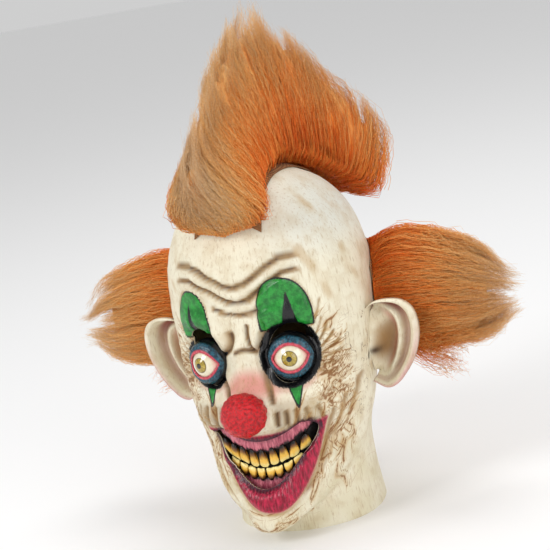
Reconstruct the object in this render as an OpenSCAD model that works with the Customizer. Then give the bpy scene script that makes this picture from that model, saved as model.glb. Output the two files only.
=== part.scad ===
// Full-head latex clown mask: a thin cast skin with ears, nose, eyes, mouth
// parts and three hair pieces glued to it, and a slit up the nape.
// The front faces -Y, +Z is up, and the neck hem lies on Z = 0.

/* [Head] */
// Width of the skull across the temples
head_w = 176; // [160:1:190]
// Height of the skin from the neck hem to the crown
head_h = 302; // [285:1:320]
// Thickness of the cast latex
skin_t = 2.2; // [1.6:0.1:3]

/* [Face] */
// Diameter of the nose ball
nose_d = 37; // [32:1:42]
// Diameter of the ball that each eye dome is part of
eye_d = 33; // [30:1:35]
// Distance from the middle of the face to the front of each eye
eye_x = 40.5; // [38:0.5:42]
// Height of the eyes above the hem
eye_z = 153; // [151:1:156]
// How far each eye turns outwards, in degrees
eye_turn = 16; // [10:1:20]
// Number of upper teeth
upper_count = 9; // [7:2:11]
// Number of lower teeth
lower_count = 8; // [6:2:10]

/* [Ears] */
// How far each ear stands out from the head
ear_reach = 43; // [34:1:50]
// Height of each ear
ear_h = 76; // [66:1:86]

/* [Hair] */
// Length of the longest fibres of the crest
crest_len = 150; // [110:1:160]
// Half the width of the crest
crest_half = 36; // [28:1:42]
// Length of each side tuft, from the skin to its tip
tuft_len = 120; // [80:1:130]

/* [Hidden] */
$fn = 48;

// Sections of the skin from the hem (first) to the crown (last). Each one is a
// ring around the head: half width, reach forwards, reach backwards, then its
// height at the front, at the sides and at the back, and how far it narrows
// towards the front.
sections = [
    [64, 52, 72, 0, 0, 0, 0],            // neck hem
    [62, 52, 70, 8, 26, 26, 0],          // neck
    [62, 54, 72, 14, 52, 52, 0.05],      // top of the neck
    [66, 66, 76, 12, 68, 76, 0.15],      // under the jaw
    [72, 82, 83, 13, 82, 100, 0.26],     // edge of the jaw
    [77, 86, 90, 27, 98, 122, 0.28],     // chin
    [80, 80, 97, 47, 113, 142, 0.22],    // lower lip
    [82, 76, 102, 69, 127, 162, 0.15],   // mouth
    [84, 73, 105, 93, 143, 182, 0.08],   // upper lip
    [86, 68, 107, 118, 158, 200, 0.03],  // base of the nose
    [87, 61, 107, 146, 174, 216, -0.02], // eyes
    [88, 56, 106, 172, 191, 232, -0.06], // bridge of the nose
    [87, 55, 103, 196, 209, 246, -0.08], // brow
    [84, 58, 97, 222, 229, 260, -0.06],  // forehead
    [76, 54, 86, 249, 251, 274, -0.03],  // hair line
    [60, 42, 67, 275, 274, 287, 0],
    [34, 23, 38, 294, 293, 298, 0],
    [0, 0, 0, 302, 302, 302, 0]];        // crown
top_row = len(sections) - 1;
sx = head_w / 176;
sz = head_h / 302;

// Catmull-Rom curve through the sections
function row(i) = i < 0 ? 2 * sections[0] - sections[1]
    : i > top_row ? 2 * sections[top_row] - sections[top_row - 1] : sections[i];
function blend4(a, b, c, d, t) = 0.5 * (2 * b + (c - a) * t
    + (2 * a - 5 * b + 4 * c - d) * t * t + (3 * b - a - 3 * c + d) * t * t * t);
function section(v) = let (i = min(floor(v), top_row - 1))
    blend4(row(i - 1), row(i), row(i + 1), row(i + 2), v - i);

// Point of the plain skull at a turn from the front, in degrees, and a row
function skull(turn, v) = let (
    s = section(v), c = cos(turn), ahead = max(c, 0),
    mid = (s[3] + s[5]) / 2,
    x = s[0] * sin(turn) * (1 - s[6] * ahead * ahead),
    y = c > 0 ? -s[1] * c : -s[2] * c,
    z = (mid + s[4]) / 2 + (s[3] - s[5]) / 2 * c + (mid - s[4]) / 2 * cos(2 * turn))
    [x * sx, y, z * sz];

// A round hill of height 1 at (x0, z0) on the front of the head
function hill(p, x0, z0, rx, rz) =
    exp(-pow((p.x - x0) / rx, 2) - pow((p.z - z0) / rz, 2));
// A flat-bottomed round hollow
function pit(p, x0, z0, r) =
    1 / (1 + pow((pow(p.x - x0, 2) + pow(p.z - z0, 2)) / (r * r), 4));
// How far the face stands out from the plain skull: the pad under the nose,
// the bridge, the chin, the cheeks and the two eye sockets
function relief(p) = p.y > 0 ? 0 :
    5.5 * pit(p, 0, 117, 19) + 4 * hill(p, 0, 158, 8, 20)
    + 5 * pit(p, 0, 16, 24) + 3 * hill(p, 0, 38, 26, 8)
    + 4 * hill(p, 50, 108, 14, 14) + 4 * hill(p, -50, 108, 14, 14)
    - 4 * pit(p, eye_x - 2, eye_z + 2, 26) - 4 * pit(p, 2 - eye_x, eye_z + 2, 26);

function unit(v) = v / norm(v);
function skull_normal(turn, v) = let (
    low = min(v, top_row - 0.3),
    e = skull(turn + 1, low) - skull(turn - 1, low),
    n = skull(turn, low + 0.05) - skull(turn, max(low - 0.05, 0)))
    unit(cross(e, n));
// Direction of the offset: level at the hem, so that the hem stays flat
function wall_dir(turn, v) = let (n = skull_normal(turn, v))
    v < 0.01 ? unit([n.x, n.y, 0]) : n;
// Point at a depth under the outer face of the skin
// The neck has no relief.
function skin(turn, v, depth = 0) = let (p = skull(turn, v),
    on_face = max(min(v - 3.4, 1), 0))
    p + wall_dir(turn, v) * (relief(p) * on_face - depth);

// The nape slit opens in a fan: the flap is wide at the hem and narrow at its
// top, so its hinge runs obliquely from the top of the slit to the hem.
flap_rows = 5;
flap_top = 9;
flap_hem = 50;
slit_half = 0.5;
function fan(v) = v >= flap_rows ? flap_top
    : flap_top + (flap_hem - flap_top) * (1 - v / flap_rows);

// Columns of the skin on one side, as turns from the front. The last ones
// border the flap and follow the fan.
side_turns = [0, 3.3, 6.6, 10, 17, 25, 31, 36, 40.5, 42.5, 49, 57, 66, 75.5, 84.8, 88.6,
    98, 108, 120, 136];
last_plain_turn = 146;
flap_shares = [1, 0.67, 0.34];
hinge_col = len(side_turns);
side_cols = hinge_col + len(flap_shares);
function col_turn(c, v) = c < hinge_col
    ? (side_turns[c] <= 90 ? side_turns[c]
        : 90 + (side_turns[c] - 90) / (last_plain_turn - 90) * (90 - fan(v)))
    : 180 - max(fan(v) * flap_shares[c - hinge_col], slit_half);
// Rows of the skin; the uneven ones border the openings
rows = [0, 0.5, 1, 1.5, 2, 2.5, 3, 3.5, 4, 4.4, 4.8, 5.2, 5.6, 6.05, 6.5, 7,
    7.45, 7.92, 8.25, 8.6, 8.95, 9.3, 9.85, 10.4, 10.9, 11.35, 11.7, 12.1, 12.5,
    13, 13.5, 14, 14.5, 15, 15.5, 16, 16.5];
// Each opening is a box of turns and rows, whose corners are then rounded into
// an oval, and a rise of its ends in rows
mouth = [[-42.5, 42.5], [6.05, 7.92], 0.45];
eye_hole = [[10, 40.5], [9.3, 11.35], 0];
ear_hole = [[84.8, 88.6], [7.45, 7.92], 0];

// True if x lies inside the pair
function within(x, pair) = x > pair[0] && x < pair[1];
function in_box(turn, v, box) = within(turn, box[0]) && within(v, box[1]);
// True if the cell with this middle is skin
function is_skin(turn, v) = !in_box(turn, v, mouth)
    && !in_box(turn, v, eye_hole) && !in_box(turn, v, ear_hole);

// Moves a grid point [turn, v] near an opening so that its box becomes an oval.
// On the box the corners move in to the oval, and the change fades outwards.
function rounded(p, box) = let (
    mid = [mean(box[0]), mean(box[1])],
    half = [box[0][1] - box[0][0], box[1][1] - box[1][0]] / 2,
    q = [(p[0] - mid[0]) / half[0], (p[1] - mid[1]) / half[1]],
    far = max(abs(q[0]), abs(q[1])), fade = max(min(2 - far, 1), 0),
    e = q / max(far, 0.001),
    oval = [e[0] * sqrt(1 - e[1] * e[1] / 2), e[1] * sqrt(1 - e[0] * e[0] / 2)] * far,
    r = q * (1 - fade) + oval * fade)
    [mid[0] + r[0] * half[0], mid[1] + r[1] * half[1] + box[2] * fade * q[0] * q[0]];
// The same for every opening on the side that the turn lies on
function opened(turn, v) = let (
    p = rounded(rounded(rounded([abs(turn), v], mouth), eye_hole), ear_hole))
    [turn < 0 ? -p[0] : p[0], p[1]];

// A closed wall between two grids of points. kept[r][c] says which cells are
// solid; wrap joins the last column to the first; cap closes the last row.
module wall(outer, inner, kept, wrap = false, cap = false) {
    nr = len(outer);
    nc = len(outer[0]);
    cells = wrap ? nc : nc - 1;
    low = nr * nc;
    function at(r, c) = r * nc + c % nc;
    function is_kept(r, c) = r >= 0 && r < nr - 1
        && (wrap || (c >= 0 && c < cells)) && kept[r][(c + cells) % cells];
    function flat(grid) = [for (line = grid) each line];
    function edge(a, b) = [[a, b, b + low], [a, b + low, a + low]];
    tip = 2 * low;
    middle = cap ? [centre(outer[nr - 1]), centre(inner[nr - 1])] : [];
    faces = [for (r = [0:nr - 2], c = [0:cells - 1]) if (is_kept(r, c))
        let (p = at(r, c), q = at(r, c + 1), s = at(r + 1, c + 1), t = at(r + 1, c))
        each concat(
            [[p, s, q], [p, t, s], [p + low, q + low, s + low], [p + low, s + low, t + low]],
            is_kept(r - 1, c) ? [] : edge(p, q),
            is_kept(r, c + 1) ? [] : edge(q, s),
            is_kept(r + 1, c) || (cap && r == nr - 2) ? [] : edge(s, t),
            is_kept(r, c - 1) ? [] : edge(t, p))];
    lid = cap ? [for (c = [0:cells - 1])
        let (p = at(nr - 1, c), q = at(nr - 1, c + 1))
        each [[p, tip, q], [p + low, q + low, tip + 1]]] : [];
    polyhedron(points = concat(flat(outer), flat(inner), middle),
        faces = concat(faces, lid), convexity = 10);
}
function centre(ring) = [for (i = [0:2]) mean([for (p = ring) p[i]])];
function mean(list) = list * [for (i = list) 1] / len(list);
function all_kept(grid) = [for (r = [0:len(grid) - 2]) [for (c = [0:len(grid[0]) - 2]) true]];

// A closed body from rings of points, with a fan over each end
module loft(rings) {
    nr = len(rings);
    nc = len(rings[0]);
    function at(r, c) = r * nc + c % nc;
    points = concat([for (ring = rings) each ring],
        [centre(rings[0]), centre(rings[nr - 1])]);
    sides = [for (r = [0:nr - 2], c = [0:nc - 1])
        let (p = at(r, c), q = at(r, c + 1), s = at(r + 1, c + 1), t = at(r + 1, c))
        each [[p, s, q], [p, t, s]]];
    ends = [for (c = [0:nc - 1])
        each [[at(0, c), at(0, c + 1), nr * nc],
            [at(nr - 1, c + 1), at(nr - 1, c), nr * nc + 1]]];
    polyhedron(points = points, faces = concat(sides, ends), convexity = 6);
}

module mirrored_if(flip) {
    if (flip) mirror([1, 0, 0]) children();
    else children();
}

// ---------------------------------------------------------------- the skin

// Signed turns of one full ring, from the slit's right edge round to its left
function ring_turns(v) = concat(
    [for (c = [side_cols - 1:-1:1]) -col_turn(c, v)],
    [for (c = [0:side_cols - 1]) col_turn(c, v)]);
// Above the slit the ring is closed, so its last cell joins the two edges
module latex_skin() {
    turns = [for (v = rows) ring_turns(v)];
    n = len(turns[0]);
    function mid_turn(r, c) = abs(turns[r][c] + turns[r][(c + 1) % n]) / 2;
    function in_flap(r, c) = rows[r] < flap_rows
        && (c < len(flap_shares) - 1 || c >= n - len(flap_shares));
    function face(depth) = [for (r = [0:len(rows) - 1])
        [for (t = turns[r]) let (p = opened(t, rows[r])) skin(p[0], p[1], depth)]];
    kept = [for (r = [0:len(rows) - 2]) [for (c = [0:n - 1])
        !in_flap(r, c) && is_skin(mid_turn(r, c), (rows[r] + rows[r + 1]) / 2)]];
    color("ivory")
    wall(face(0), face(skin_t), kept, wrap = true, cap = true);
}

// One flap of the nape, left of the slit, with clearance along its hinge
flap_gap = 0.6;
flap_row_list = [for (v = rows) if (v <= flap_rows) v];
module nape_flap() {
    // shares of the fan, from just inside the hinge to the edge of the slit
    shares = [0.965, 0.75, 0.5, 0.25];
    // clear of the skin at the top and of the hem's plane at the bottom
    function flap_v(v) = min(max(v, 0.1), flap_rows - 0.03);
    function turn_at(s, v) = 180 - max(fan(v) * s, slit_half);
    function line(v, depth) = concat(
        [for (s = shares) skin(turn_at(s, v), v, depth)],
        [skin(180 - slit_half, v, depth)]);
    outer = [for (v = flap_row_list) line(flap_v(v), 0)];
    inner = [for (v = flap_row_list) line(flap_v(v), skin_t)];
    color("ivory") wall(outer, inner, all_kept(outer));
}

// Woven patch glued inside the skin over the top of the slit
module slit_patch() {
    turns = [168:4:192];
    patch_rows = [flap_rows + 0.25, flap_rows + 0.6, flap_rows + 0.95];
    function face(depth) = [for (v = patch_rows) [for (t = turns) skin(t, v, depth)]];
    outer = face(skin_t + 0.5);
    color("gainsboro") wall(outer, face(skin_t + 1.3), all_kept(outer));
}

// ---------------------------------------------------------------- the ears

// Outline of the ear from its upper root round the rim to the lobe, as shares
// of its reach and of half its height
ear_rim = [[0.05, 0.84], [0.24, 0.97], [0.5, 1.0], [0.76, 0.94], [0.94, 0.76],
    [1.01, 0.48], [1.0, 0.18], [0.92, -0.14], [0.79, -0.44], [0.62, -0.7],
    [0.42, -0.92], [0.22, -1.0], [0.08, -0.88]];
// Point of the root, where the ear meets the head: share runs from -1 at the
// lobe to 1 at the top
function ear_root(share) =
    [83.9 + 3.2 * share, -1 + 8 * share * share, 144 + 26 * share];
ear_t = 2.4;
ear_x = 85;
ear_z = 143;
module ear() {
    n = len(ear_rim) - 1;
    steps = 7;
    bowl = 10;
    sweep = 7;
    curl = 5;
    // across the ear: w is 0 at the root and 1 at the rim
    function place(i, w) = let (rim = ear_rim[i], root = ear_root(1 - 2 * i / n),
        edge = [ear_x + rim[0] * ear_reach, sweep * rim[0], ear_z + rim[1] * ear_h / 2])
        root * (1 - w) + edge * w
        + [0, bowl * sin(180 * min(w * 1.2, 1)) - curl * pow(w, 6), 0];
    front = [for (k = [0:steps]) [for (i = [0:n]) place(i, k / steps)]];
    back = [for (line = front) [for (p = line) p + [0.4, ear_t, 0]]];
    color("antiquewhite") wall(front, back, all_kept(front));
}

// ---------------------------------------------------------------- the nose

nose_pos = [0, -86, 117];
// Where the ball is cut off to sit on the pad, and how far it points up
nose_seat = 12;
nose_lift = 13;
module red_nose() {
    color("red")
    translate(nose_pos) rotate([90 - nose_lift, 0, 0])
    difference() {
        sphere(d = nose_d);
        sphere(d = nose_d - 2 * skin_t);
        translate([0, 0, -nose_d / 2 - nose_seat - 1]) cube(nose_d + 2, center = true);
    }
}

// ---------------------------------------------------------------- the eyes

// Centre of the ball, from the frontmost point of the dome
eye_pos = [eye_x, -62, eye_z] - eye_d / 2 * [sin(eye_turn), -cos(eye_turn), 0];
eye_lift = 4;
dome_t = 1.4;
lid_t = 2.5;
lid_gap = 0.3;
lid_r = eye_d / 2 + lid_gap;
// Puts its children, drawn looking along +Z with +Y up, in the left socket
module in_socket() {
    translate(eye_pos) rotate([90 - eye_lift, 0, eye_turn]) children();
}
module behind(z) {
    translate([0, 0, z - 30]) cube(60, center = true);
}

// Hard dome, closed by its rim
module eyeball() {
    color("lightyellow") in_socket()
    difference() {
        sphere(d = eye_d);
        sphere(d = eye_d - 2 * dome_t);
        behind(0);
    }
}

// Lids: a thick shell over the dome, with an almond opening
module eyelids() {
    almond_r = 17.5;
    almond_drop = 7.5;
    color("darkslategray") in_socket()
    difference() {
        sphere(r = lid_r + lid_t);
        sphere(r = lid_r);
        behind(-1);
        linear_extrude(40) intersection() {
            translate([0, almond_drop]) circle(r = almond_r);
            translate([0, -almond_drop]) circle(r = almond_r);
        }
    }
}

// Bead of glue round the back of the lids. It is open at the top, where the
// wearer looks out between the lids and the edge of the socket.
module eye_glue_ring() {
    bead = 2;
    open_angle = 100;
    color("khaki") in_socket() rotate([0, 0, 90 + open_angle / 2])
    rotate_extrude(angle = 360 - open_angle)
        translate([lid_r + lid_t + bead - 0.4, 0]) circle(r = bead, $fn = 20);
}

// --------------------------------------------------------------- the mouth

// The dental arch seen from above, and the height of the bite along it
function arch_y(x) = -70 + 0.0078 * x * x;
function bite_z(x) = 65 + 0.0085 * x * x;
function arch_turn(x) = atan(0.0156 * x);
// Point of the arch at x, above the bite and behind the front of the teeth
function arch(x, up, back) = let (a = arch_turn(x))
    [x - back * sin(a), arch_y(x) + back * cos(a), bite_z(x) + up];

// A band along the arch between two heights, with its front face bulging
module band(half, low, high, front, thick, bulge, gaps = []) {
    xs = [for (i = [-12:12]) i * half / 12];
    ups = [low, low * 0.5 + high * 0.5, high];
    bulges = [0, bulge, 0];
    outer = [for (k = [0:2]) [for (x = xs) arch(x, ups[k], front - bulges[k])]];
    inner = [for (k = [0:2]) [for (x = xs) arch(x, ups[k], front + thick)]];
    wall(outer, inner, all_kept(outer));
}

module upper_gum() {
    color("palevioletred") band(48, 16.6, 28, 2, 4, 1.4);
}
module lower_gum() {
    color("palevioletred") band(42, -20, -12.2, 2, 4, 1);
}

// Flexible sheet behind the teeth, with holes to breathe through at the bite
hole_r = 1.75;
module mouth_backing() {
    // an arc through the back of the arch
    arc_r = 62;
    arc_y = arch_y(0) + 8.6;
    color("black")
    translate([0, arc_y + arc_r, bite_z(0)])
    difference() {
        translate([0, 0, -22]) rotate([0, 0, -140]) rotate_extrude(angle = 100)
            translate([arc_r - 1.2, 0]) square([1.2, 56]);
        for (a = [-30:15:30]) rotate([90, 0, a])
            translate([0, 1 + 9 * sin(a) * sin(a), arc_r - 4]) cylinder(r = hole_r, h = 8);
    }
}

// One tooth: rings from the root to the biting edge, standing at the origin
module tooth(w, h, thick) {
    // share of the height, of the width and of the thickness at each ring
    profile = [[0, 0.55, 0.7], [0.12, 0.78, 0.9], [0.45, 0.95, 1], [0.8, 1, 0.8],
        [0.96, 0.94, 0.5], [1, 0.8, 0.3]];
    corners = 10;
    rings = [for (p = profile) [for (i = [0:corners - 1])
        let (a = 360 * i / corners)
        [cos(a) * w / 2 * p[1], -sin(a) * thick / 2 * p[2], p[0] * h]]];
    loft(rings);
}

tooth_t = 5;
bite_gap = 0.8;
// A row of teeth along the arch. side is 1 for the upper teeth and -1 for the
// lower ones; tall and low are the heights in the middle and at the ends.
module tooth_row(count, half, tall, low, side) {
    pitch = 2 * half / count;
    for (i = [0:count - 1]) {
        x = -half + pitch * (i + 0.5);
        h = tall + (low - tall) * pow(abs(x) / half, 2);
        translate(arch(x, side * (bite_gap + h), tooth_t / 3))
            rotate([side > 0 ? 180 : 0, 0, 0]) rotate([0, 0, side * arch_turn(x)])
            tooth(pitch * 0.82 / cos(arch_turn(x)), h, tooth_t);
    }
}
module upper_teeth() {
    color("gold") tooth_row(upper_count, 41, 15.4, 10.5, 1);
}
module lower_teeth() {
    color("gold") tooth_row(lower_count, 33, 11, 8.5, -1);
}

// ---------------------------------------------------------------- the hair

backing_t = 1;
glue = 0.5;
// A patch of cloth on the skin between two turns and two rows of sections
module patch(turns, patch_rows) {
    function face(height) =
        [for (v = patch_rows) [for (t = turns) skin(t, v, -height)]];
    outer = face(glue + backing_t);
    wall(outer, face(glue), all_kept(outer));
}

// Cloth strip under the crest, a grid of x and y laid on the crown
strip_half = 30;
strip_ys = [-46:9:89];
module crest_backing() {
    function face(height) = [for (y = strip_ys)
        [for (x = [-strip_half:10:strip_half]) on_top(x, y, height)]];
    lower = face(glue);
    color("tan") wall(lower, face(glue + backing_t), all_kept(lower));
}
// Point of the section at v whose x is the one asked for, as [turn, y]
function at_x(x, y, v) = let (
    side = asin(min(abs(x) / max(section(v)[0] * sx, 0.01), 1)),
    turn = (y < 0 ? side : 180 - side) * (x < 0 ? -1 : 1))
    [turn, skull(turn, v).y];
// Row of the crown's section over a point [x, y], found by halving
function crown_row(x, y, low = 11, high = top_row, tries = 16) =
    let (mid = (low + high) / 2)
    tries == 0 ? mid
    : abs(at_x(x, y, mid)[1]) > abs(y) ? crown_row(x, y, mid, high, tries - 1)
    : crown_row(x, y, low, mid, tries - 1);
// Point above the crown over [x, y]
function on_top(x, y, height) = let (v = crown_row(x, y))
    skin(at_x(x, y, v)[0], v, -height);

// Body of the crest: rings across it, from the forehead to the back of the
// head: turn and row of the roots, y and z of the tips, half width at the roots
// and at the tips as shares of the crest's own
crest_rings = [
    [0, 14.35, -60, 262, 0.3, 0.2],
    [0, 14.55, -74, 276, 0.9, 0.6],
    [0, 14.85, -83, 296, 1.12, 0.75],
    [0, 15.25, -80, 320, 1.16, 0.75],
    [0, 15.7, -58, 350, 1.12, 0.6],
    [0, 16.3, -26, 380, 1.06, 0.5],
    [180, 16.85, 12, 405, 1.04, 0.55],
    [180, 16.3, 48, 420, 1.06, 0.65],
    [180, 15.7, 86, 414, 1.1, 0.8],
    [180, 15.1, 116, 390, 1.2, 0.95],
    [180, 14.5, 138, 356, 1.35, 1.3],
    [180, 13.9, 150, 320, 1.4, 1.45],
    [180, 13.3, 150, 286, 1.2, 1.2],
    [180, 12.8, 132, 258, 0.6, 0.5]];
root_lift = 2.4;
module crest_hair() {
    around = 20;
    grow = crest_len / 150;
    color("darkorange") loft([for (r = crest_rings)
        let (root = skin(r[0], r[1], -root_lift),
            along = ([0, r[2], r[3]] - [0, root.y, root.z]) * grow)
        [for (i = [0:around - 1])
            let (a = -360 * i / around, t = (1 - cos(a)) / 2,
                x = crest_half * sign(sin(a)) * pow(abs(sin(a)), 0.7)
                    * (r[4] * (1 - t) + (2 * r[5] - r[4]) * t))
            root + [x, 0, 0] + along * t]]);
}

// Side tuft: an oval body along a line that runs outwards and a little back
tuft_turn = 116;
tuft_row = 9.6;
// share of the length, half height, half depth, drop
tuft_rings = [[0, 46, 14, 8], [0.06, 56, 19, 12], [0.25, 55, 24, 10],
    [0.5, 50, 25, 9], [0.72, 46, 22, 12], [0.88, 38, 15, 14], [1, 20, 6, 16]];
tuft_dir = unit([1, -0.1, 0]);
module tuft_hair() {
    around = 20;
    root = skin(tuft_turn, tuft_row, -(glue + backing_t + 1.2));
    across = unit(cross([0, 0, 1], tuft_dir));
    n = skull_normal(tuft_turn, tuft_row);
    color("darkorange") loft([for (r = tuft_rings)
        let (middle = root + tuft_dir * (r[0] * tuft_len) - [0, 0, r[3]])
        [for (i = [0:around - 1]) let (a = 360 * i / around,
            p = middle + across * r[2] * cos(a) + [0, 0, 1] * r[1] * sin(a),
            sink = min((p - root) * n, 0))
            r[0] < 0.05 ? p - n * sink : p]]);
}
module tuft_backing() {
    color("tan") patch([104, 109, 114, 119, 124, 129, 134],
        [8.2, 8.7, 9.2, 9.7, 10.2, 10.7, 11.2]);
}

// ------------------------------------------------------------ the assembly

// The origin is under the middle of the whole mask, hair included
front_y = nose_pos.y - nose_d / 2;
back_y = max([for (r = crest_rings) let (y = skin(r[0], r[1]).y)
    y + (r[2] - y) * crest_len / 150]);
module placed(flip = false) {
    translate([0, -(front_y + back_y) / 2, 0]) mirrored_if(flip) children();
}

placed() latex_skin();
placed() nape_flap();  // left_nape_flap
placed(true) nape_flap();  // right_nape_flap
placed() slit_patch();
placed() ear();  // left_ear
placed(true) ear();  // right_ear
placed() red_nose();
placed() eyeball();  // left_eyeball
placed(true) eyeball();  // right_eyeball
placed() eyelids();  // left_eyelids
placed(true) eyelids();  // right_eyelids
placed() eye_glue_ring();  // left_eye_glue_ring
placed(true) eye_glue_ring();  // right_eye_glue_ring
placed() upper_gum();
placed() lower_gum();
placed() upper_teeth();
placed() lower_teeth();
placed() mouth_backing();
placed() crest_backing();
placed() crest_hair();
placed() tuft_backing();  // left_tuft_backing
placed() tuft_hair();  // left_tuft_hair
placed(true) tuft_backing();  // right_tuft_backing
placed(true) tuft_hair();  // right_tuft_hair
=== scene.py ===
# %% [markdown]
# # A full-head latex clown mask
# The mask is one thin cast skin that is pulled over the head. Ears, a ball
# nose, domed eyes, teeth and gums are glued to it, and three bunches of teased
# fibre make the hair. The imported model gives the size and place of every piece
# and the bodies that move; this script makes what the eye sees.

# %% Load the frame
import bpy
import numpy as np
from mathutils import Matrix, Vector


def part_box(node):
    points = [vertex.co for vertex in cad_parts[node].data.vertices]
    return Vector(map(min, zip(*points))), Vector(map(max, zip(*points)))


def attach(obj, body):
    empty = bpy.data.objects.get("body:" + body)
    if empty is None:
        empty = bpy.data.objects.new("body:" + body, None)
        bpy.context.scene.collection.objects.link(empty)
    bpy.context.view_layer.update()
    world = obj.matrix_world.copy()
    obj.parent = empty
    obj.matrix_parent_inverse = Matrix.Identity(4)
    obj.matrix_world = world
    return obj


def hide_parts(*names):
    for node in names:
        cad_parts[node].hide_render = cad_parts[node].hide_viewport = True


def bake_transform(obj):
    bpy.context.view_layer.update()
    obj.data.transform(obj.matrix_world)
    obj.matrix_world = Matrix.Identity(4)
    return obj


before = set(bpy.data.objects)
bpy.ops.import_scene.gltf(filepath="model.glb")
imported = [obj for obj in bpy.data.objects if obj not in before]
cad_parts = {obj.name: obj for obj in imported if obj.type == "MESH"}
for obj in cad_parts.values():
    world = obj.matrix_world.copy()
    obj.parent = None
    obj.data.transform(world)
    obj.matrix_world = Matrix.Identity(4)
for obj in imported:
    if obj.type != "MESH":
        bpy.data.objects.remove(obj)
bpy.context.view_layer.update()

scene = bpy.context.scene

# %% [markdown]
# ## One set of coordinates
# The shapes are easiest to think of in millimetres, with y = 0 on the line
# through the ears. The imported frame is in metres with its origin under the
# middle of the whole mask, so one function carries points from the first to the
# second. The nose tells how far apart the two origins are.

# %% Millimetres to the frame
NOSE = np.array([0.0, -86.0, 117.0])
NOSE_R = 18.5
Y_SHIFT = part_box("red_nose")[0][1] * 1000 - (NOSE[1] - NOSE_R)


def to_frame(points):
    """Millimetres from the ear line to metres in the frame: shift y, divide by 1000."""
    return (np.asarray(points, float) + [0.0, Y_SHIFT, 0.0]) / 1000.0


print(f"the ear line lies at y = {Y_SHIFT:.2f} mm in the frame")

# %% [markdown]
# ## Small tools for surfaces
# Almost every piece here is a grid of points that a formula of two numbers
# gives. These helpers turn such a grid into a mesh. Writing whole arrays into
# the mesh keeps even the hair quick.

# %% Grids and meshes
def smooth(low, high, x):
    """0 below low, 1 above high, and the curve 3t^2 - 2t^3 between."""
    t = np.clip((x - low) / (high - low), 0.0, 1.0)
    return t * t * (3 - 2 * t)


def unit(v):
    """Each vector divided by its length."""
    return v / np.maximum(np.linalg.norm(v, axis=-1, keepdims=True), 1e-9)


def grid_faces(rows, cols, keep=None, wrap=False, start=0):
    """Four corners of every kept cell of a grid, counter-clockwise from outside."""
    cells = cols if wrap else cols - 1
    r, c = np.meshgrid(np.arange(rows - 1), np.arange(cells), indexing="ij")
    if keep is not None:
        r, c = r[keep], c[keep]
    r, c = r.ravel(), c.ravel()
    n = (c + 1) % cols
    return start + np.stack([r * cols + c, r * cols + n, (r + 1) * cols + n, (r + 1) * cols + c], 1)


def make_piece(name, points, faces, material, body="mask", values=None, is_smooth=True, normals=None):
    """Closed faces over points in mm become an object that rides on a body, or on none yet.
    The faces are turned over if the volume they enclose comes out negative."""
    faces = [np.asarray(f, np.int64) for f in (faces if isinstance(faces, list) else [faces]) if len(f)]
    flat = np.asarray(points, float).reshape(-1, 3)
    volume = sum(np.einsum("ij,ij", flat[f[:, 0]], np.cross(flat[f[:, k]], flat[f[:, k + 1]]))
                 for f in faces for k in range(1, f.shape[1] - 1))
    if volume < 0:
        faces = [f[:, ::-1] for f in faces]
    corners = np.concatenate([f.ravel() for f in faces])
    totals = np.concatenate([np.full(len(f), f.shape[1]) for f in faces])
    used, corners = np.unique(corners, return_inverse=True)
    points = np.asarray(points, float).reshape(-1, 3)[used]
    mesh = bpy.data.meshes.new(name)
    mesh.vertices.add(len(points))
    mesh.vertices.foreach_set("co", to_frame(points).astype(np.float32).ravel())
    mesh.loops.add(len(corners))
    mesh.loops.foreach_set("vertex_index", corners.astype(np.int32))
    mesh.polygons.add(len(totals))
    mesh.polygons.foreach_set("loop_start", (np.cumsum(totals) - totals).astype(np.int32))
    mesh.update(calc_edges=True)
    mesh.validate()
    mesh.polygons.foreach_set("use_smooth", np.full(len(mesh.polygons), is_smooth))
    for key, value in (values or {}).items():
        value = np.asarray(value, np.float32)
        width = 1 if value.ndim == 1 else value.shape[-1]
        kinds = {1: ("FLOAT", "value"), 3: ("FLOAT_VECTOR", "vector"), 4: ("FLOAT_COLOR", "color")}
        kind, field = kinds[width]
        attribute = mesh.attributes.new(key, kind, "POINT")
        attribute.data.foreach_set(field, value.reshape(-1, width)[used].ravel())
    if normals is not None:
        mesh.normals_split_custom_set_from_vertices(normals.reshape(-1, 3)[used].tolist())
    piece = bpy.data.objects.new(name, mesh)
    scene.collection.objects.link(piece)
    mesh.materials.append(material)
    if body:
        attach(piece, body)
    triangles = int((totals - 2).sum())
    print(f"{name}: {len(points)} points, {triangles} triangles")
    return piece


# %% [markdown]
# ## Soft noise without a texture
# Cast latex is never perfectly even. A sum of a few slanted sine waves is a
# cheap, smooth and repeatable unevenness, and it works on whole arrays.

# %% Waves
def waves(points, size, seed, count=14):
    """Sum of sine waves of about the given wavelength in random directions, from -1 to 1."""
    local = np.random.default_rng(seed)
    total = np.zeros(points.shape[:-1])
    for _ in range(count):
        direction = local.normal(size=3)
        direction *= 2 * np.pi / (size * local.uniform(0.7, 1.6)) / np.linalg.norm(direction)
        total += np.sin(points @ direction + local.uniform(0, 6.28))
    return total / np.sqrt(count)


print("waves: test value", round(float(waves(np.zeros((1, 3)), 10, 1)[0]), 3))

# %% [markdown]
# ## Paint
# The skin carries airbrushed and brushed paint. Broad colour is worked out for
# each point of the mesh and stored with it; the shader adds the fine grain.
# Sharp edges, such as the green brows, are stored as a distance to their
# outline in millimetres, because a distance stays straight between points and
# the shader can cut it as sharply as it likes.

# %% Node helpers
def node_material(name):
    """A new material with only an output, a Principled shader and a small node maker."""
    material = bpy.data.materials.new(name)
    material.use_nodes = True
    tree = material.node_tree
    tree.nodes.clear()
    output = tree.nodes.new("ShaderNodeOutputMaterial")
    shader = tree.nodes.new("ShaderNodeBsdfPrincipled")
    tree.links.new(shader.outputs[0], output.inputs[0])
    return material, tree, shader


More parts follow.
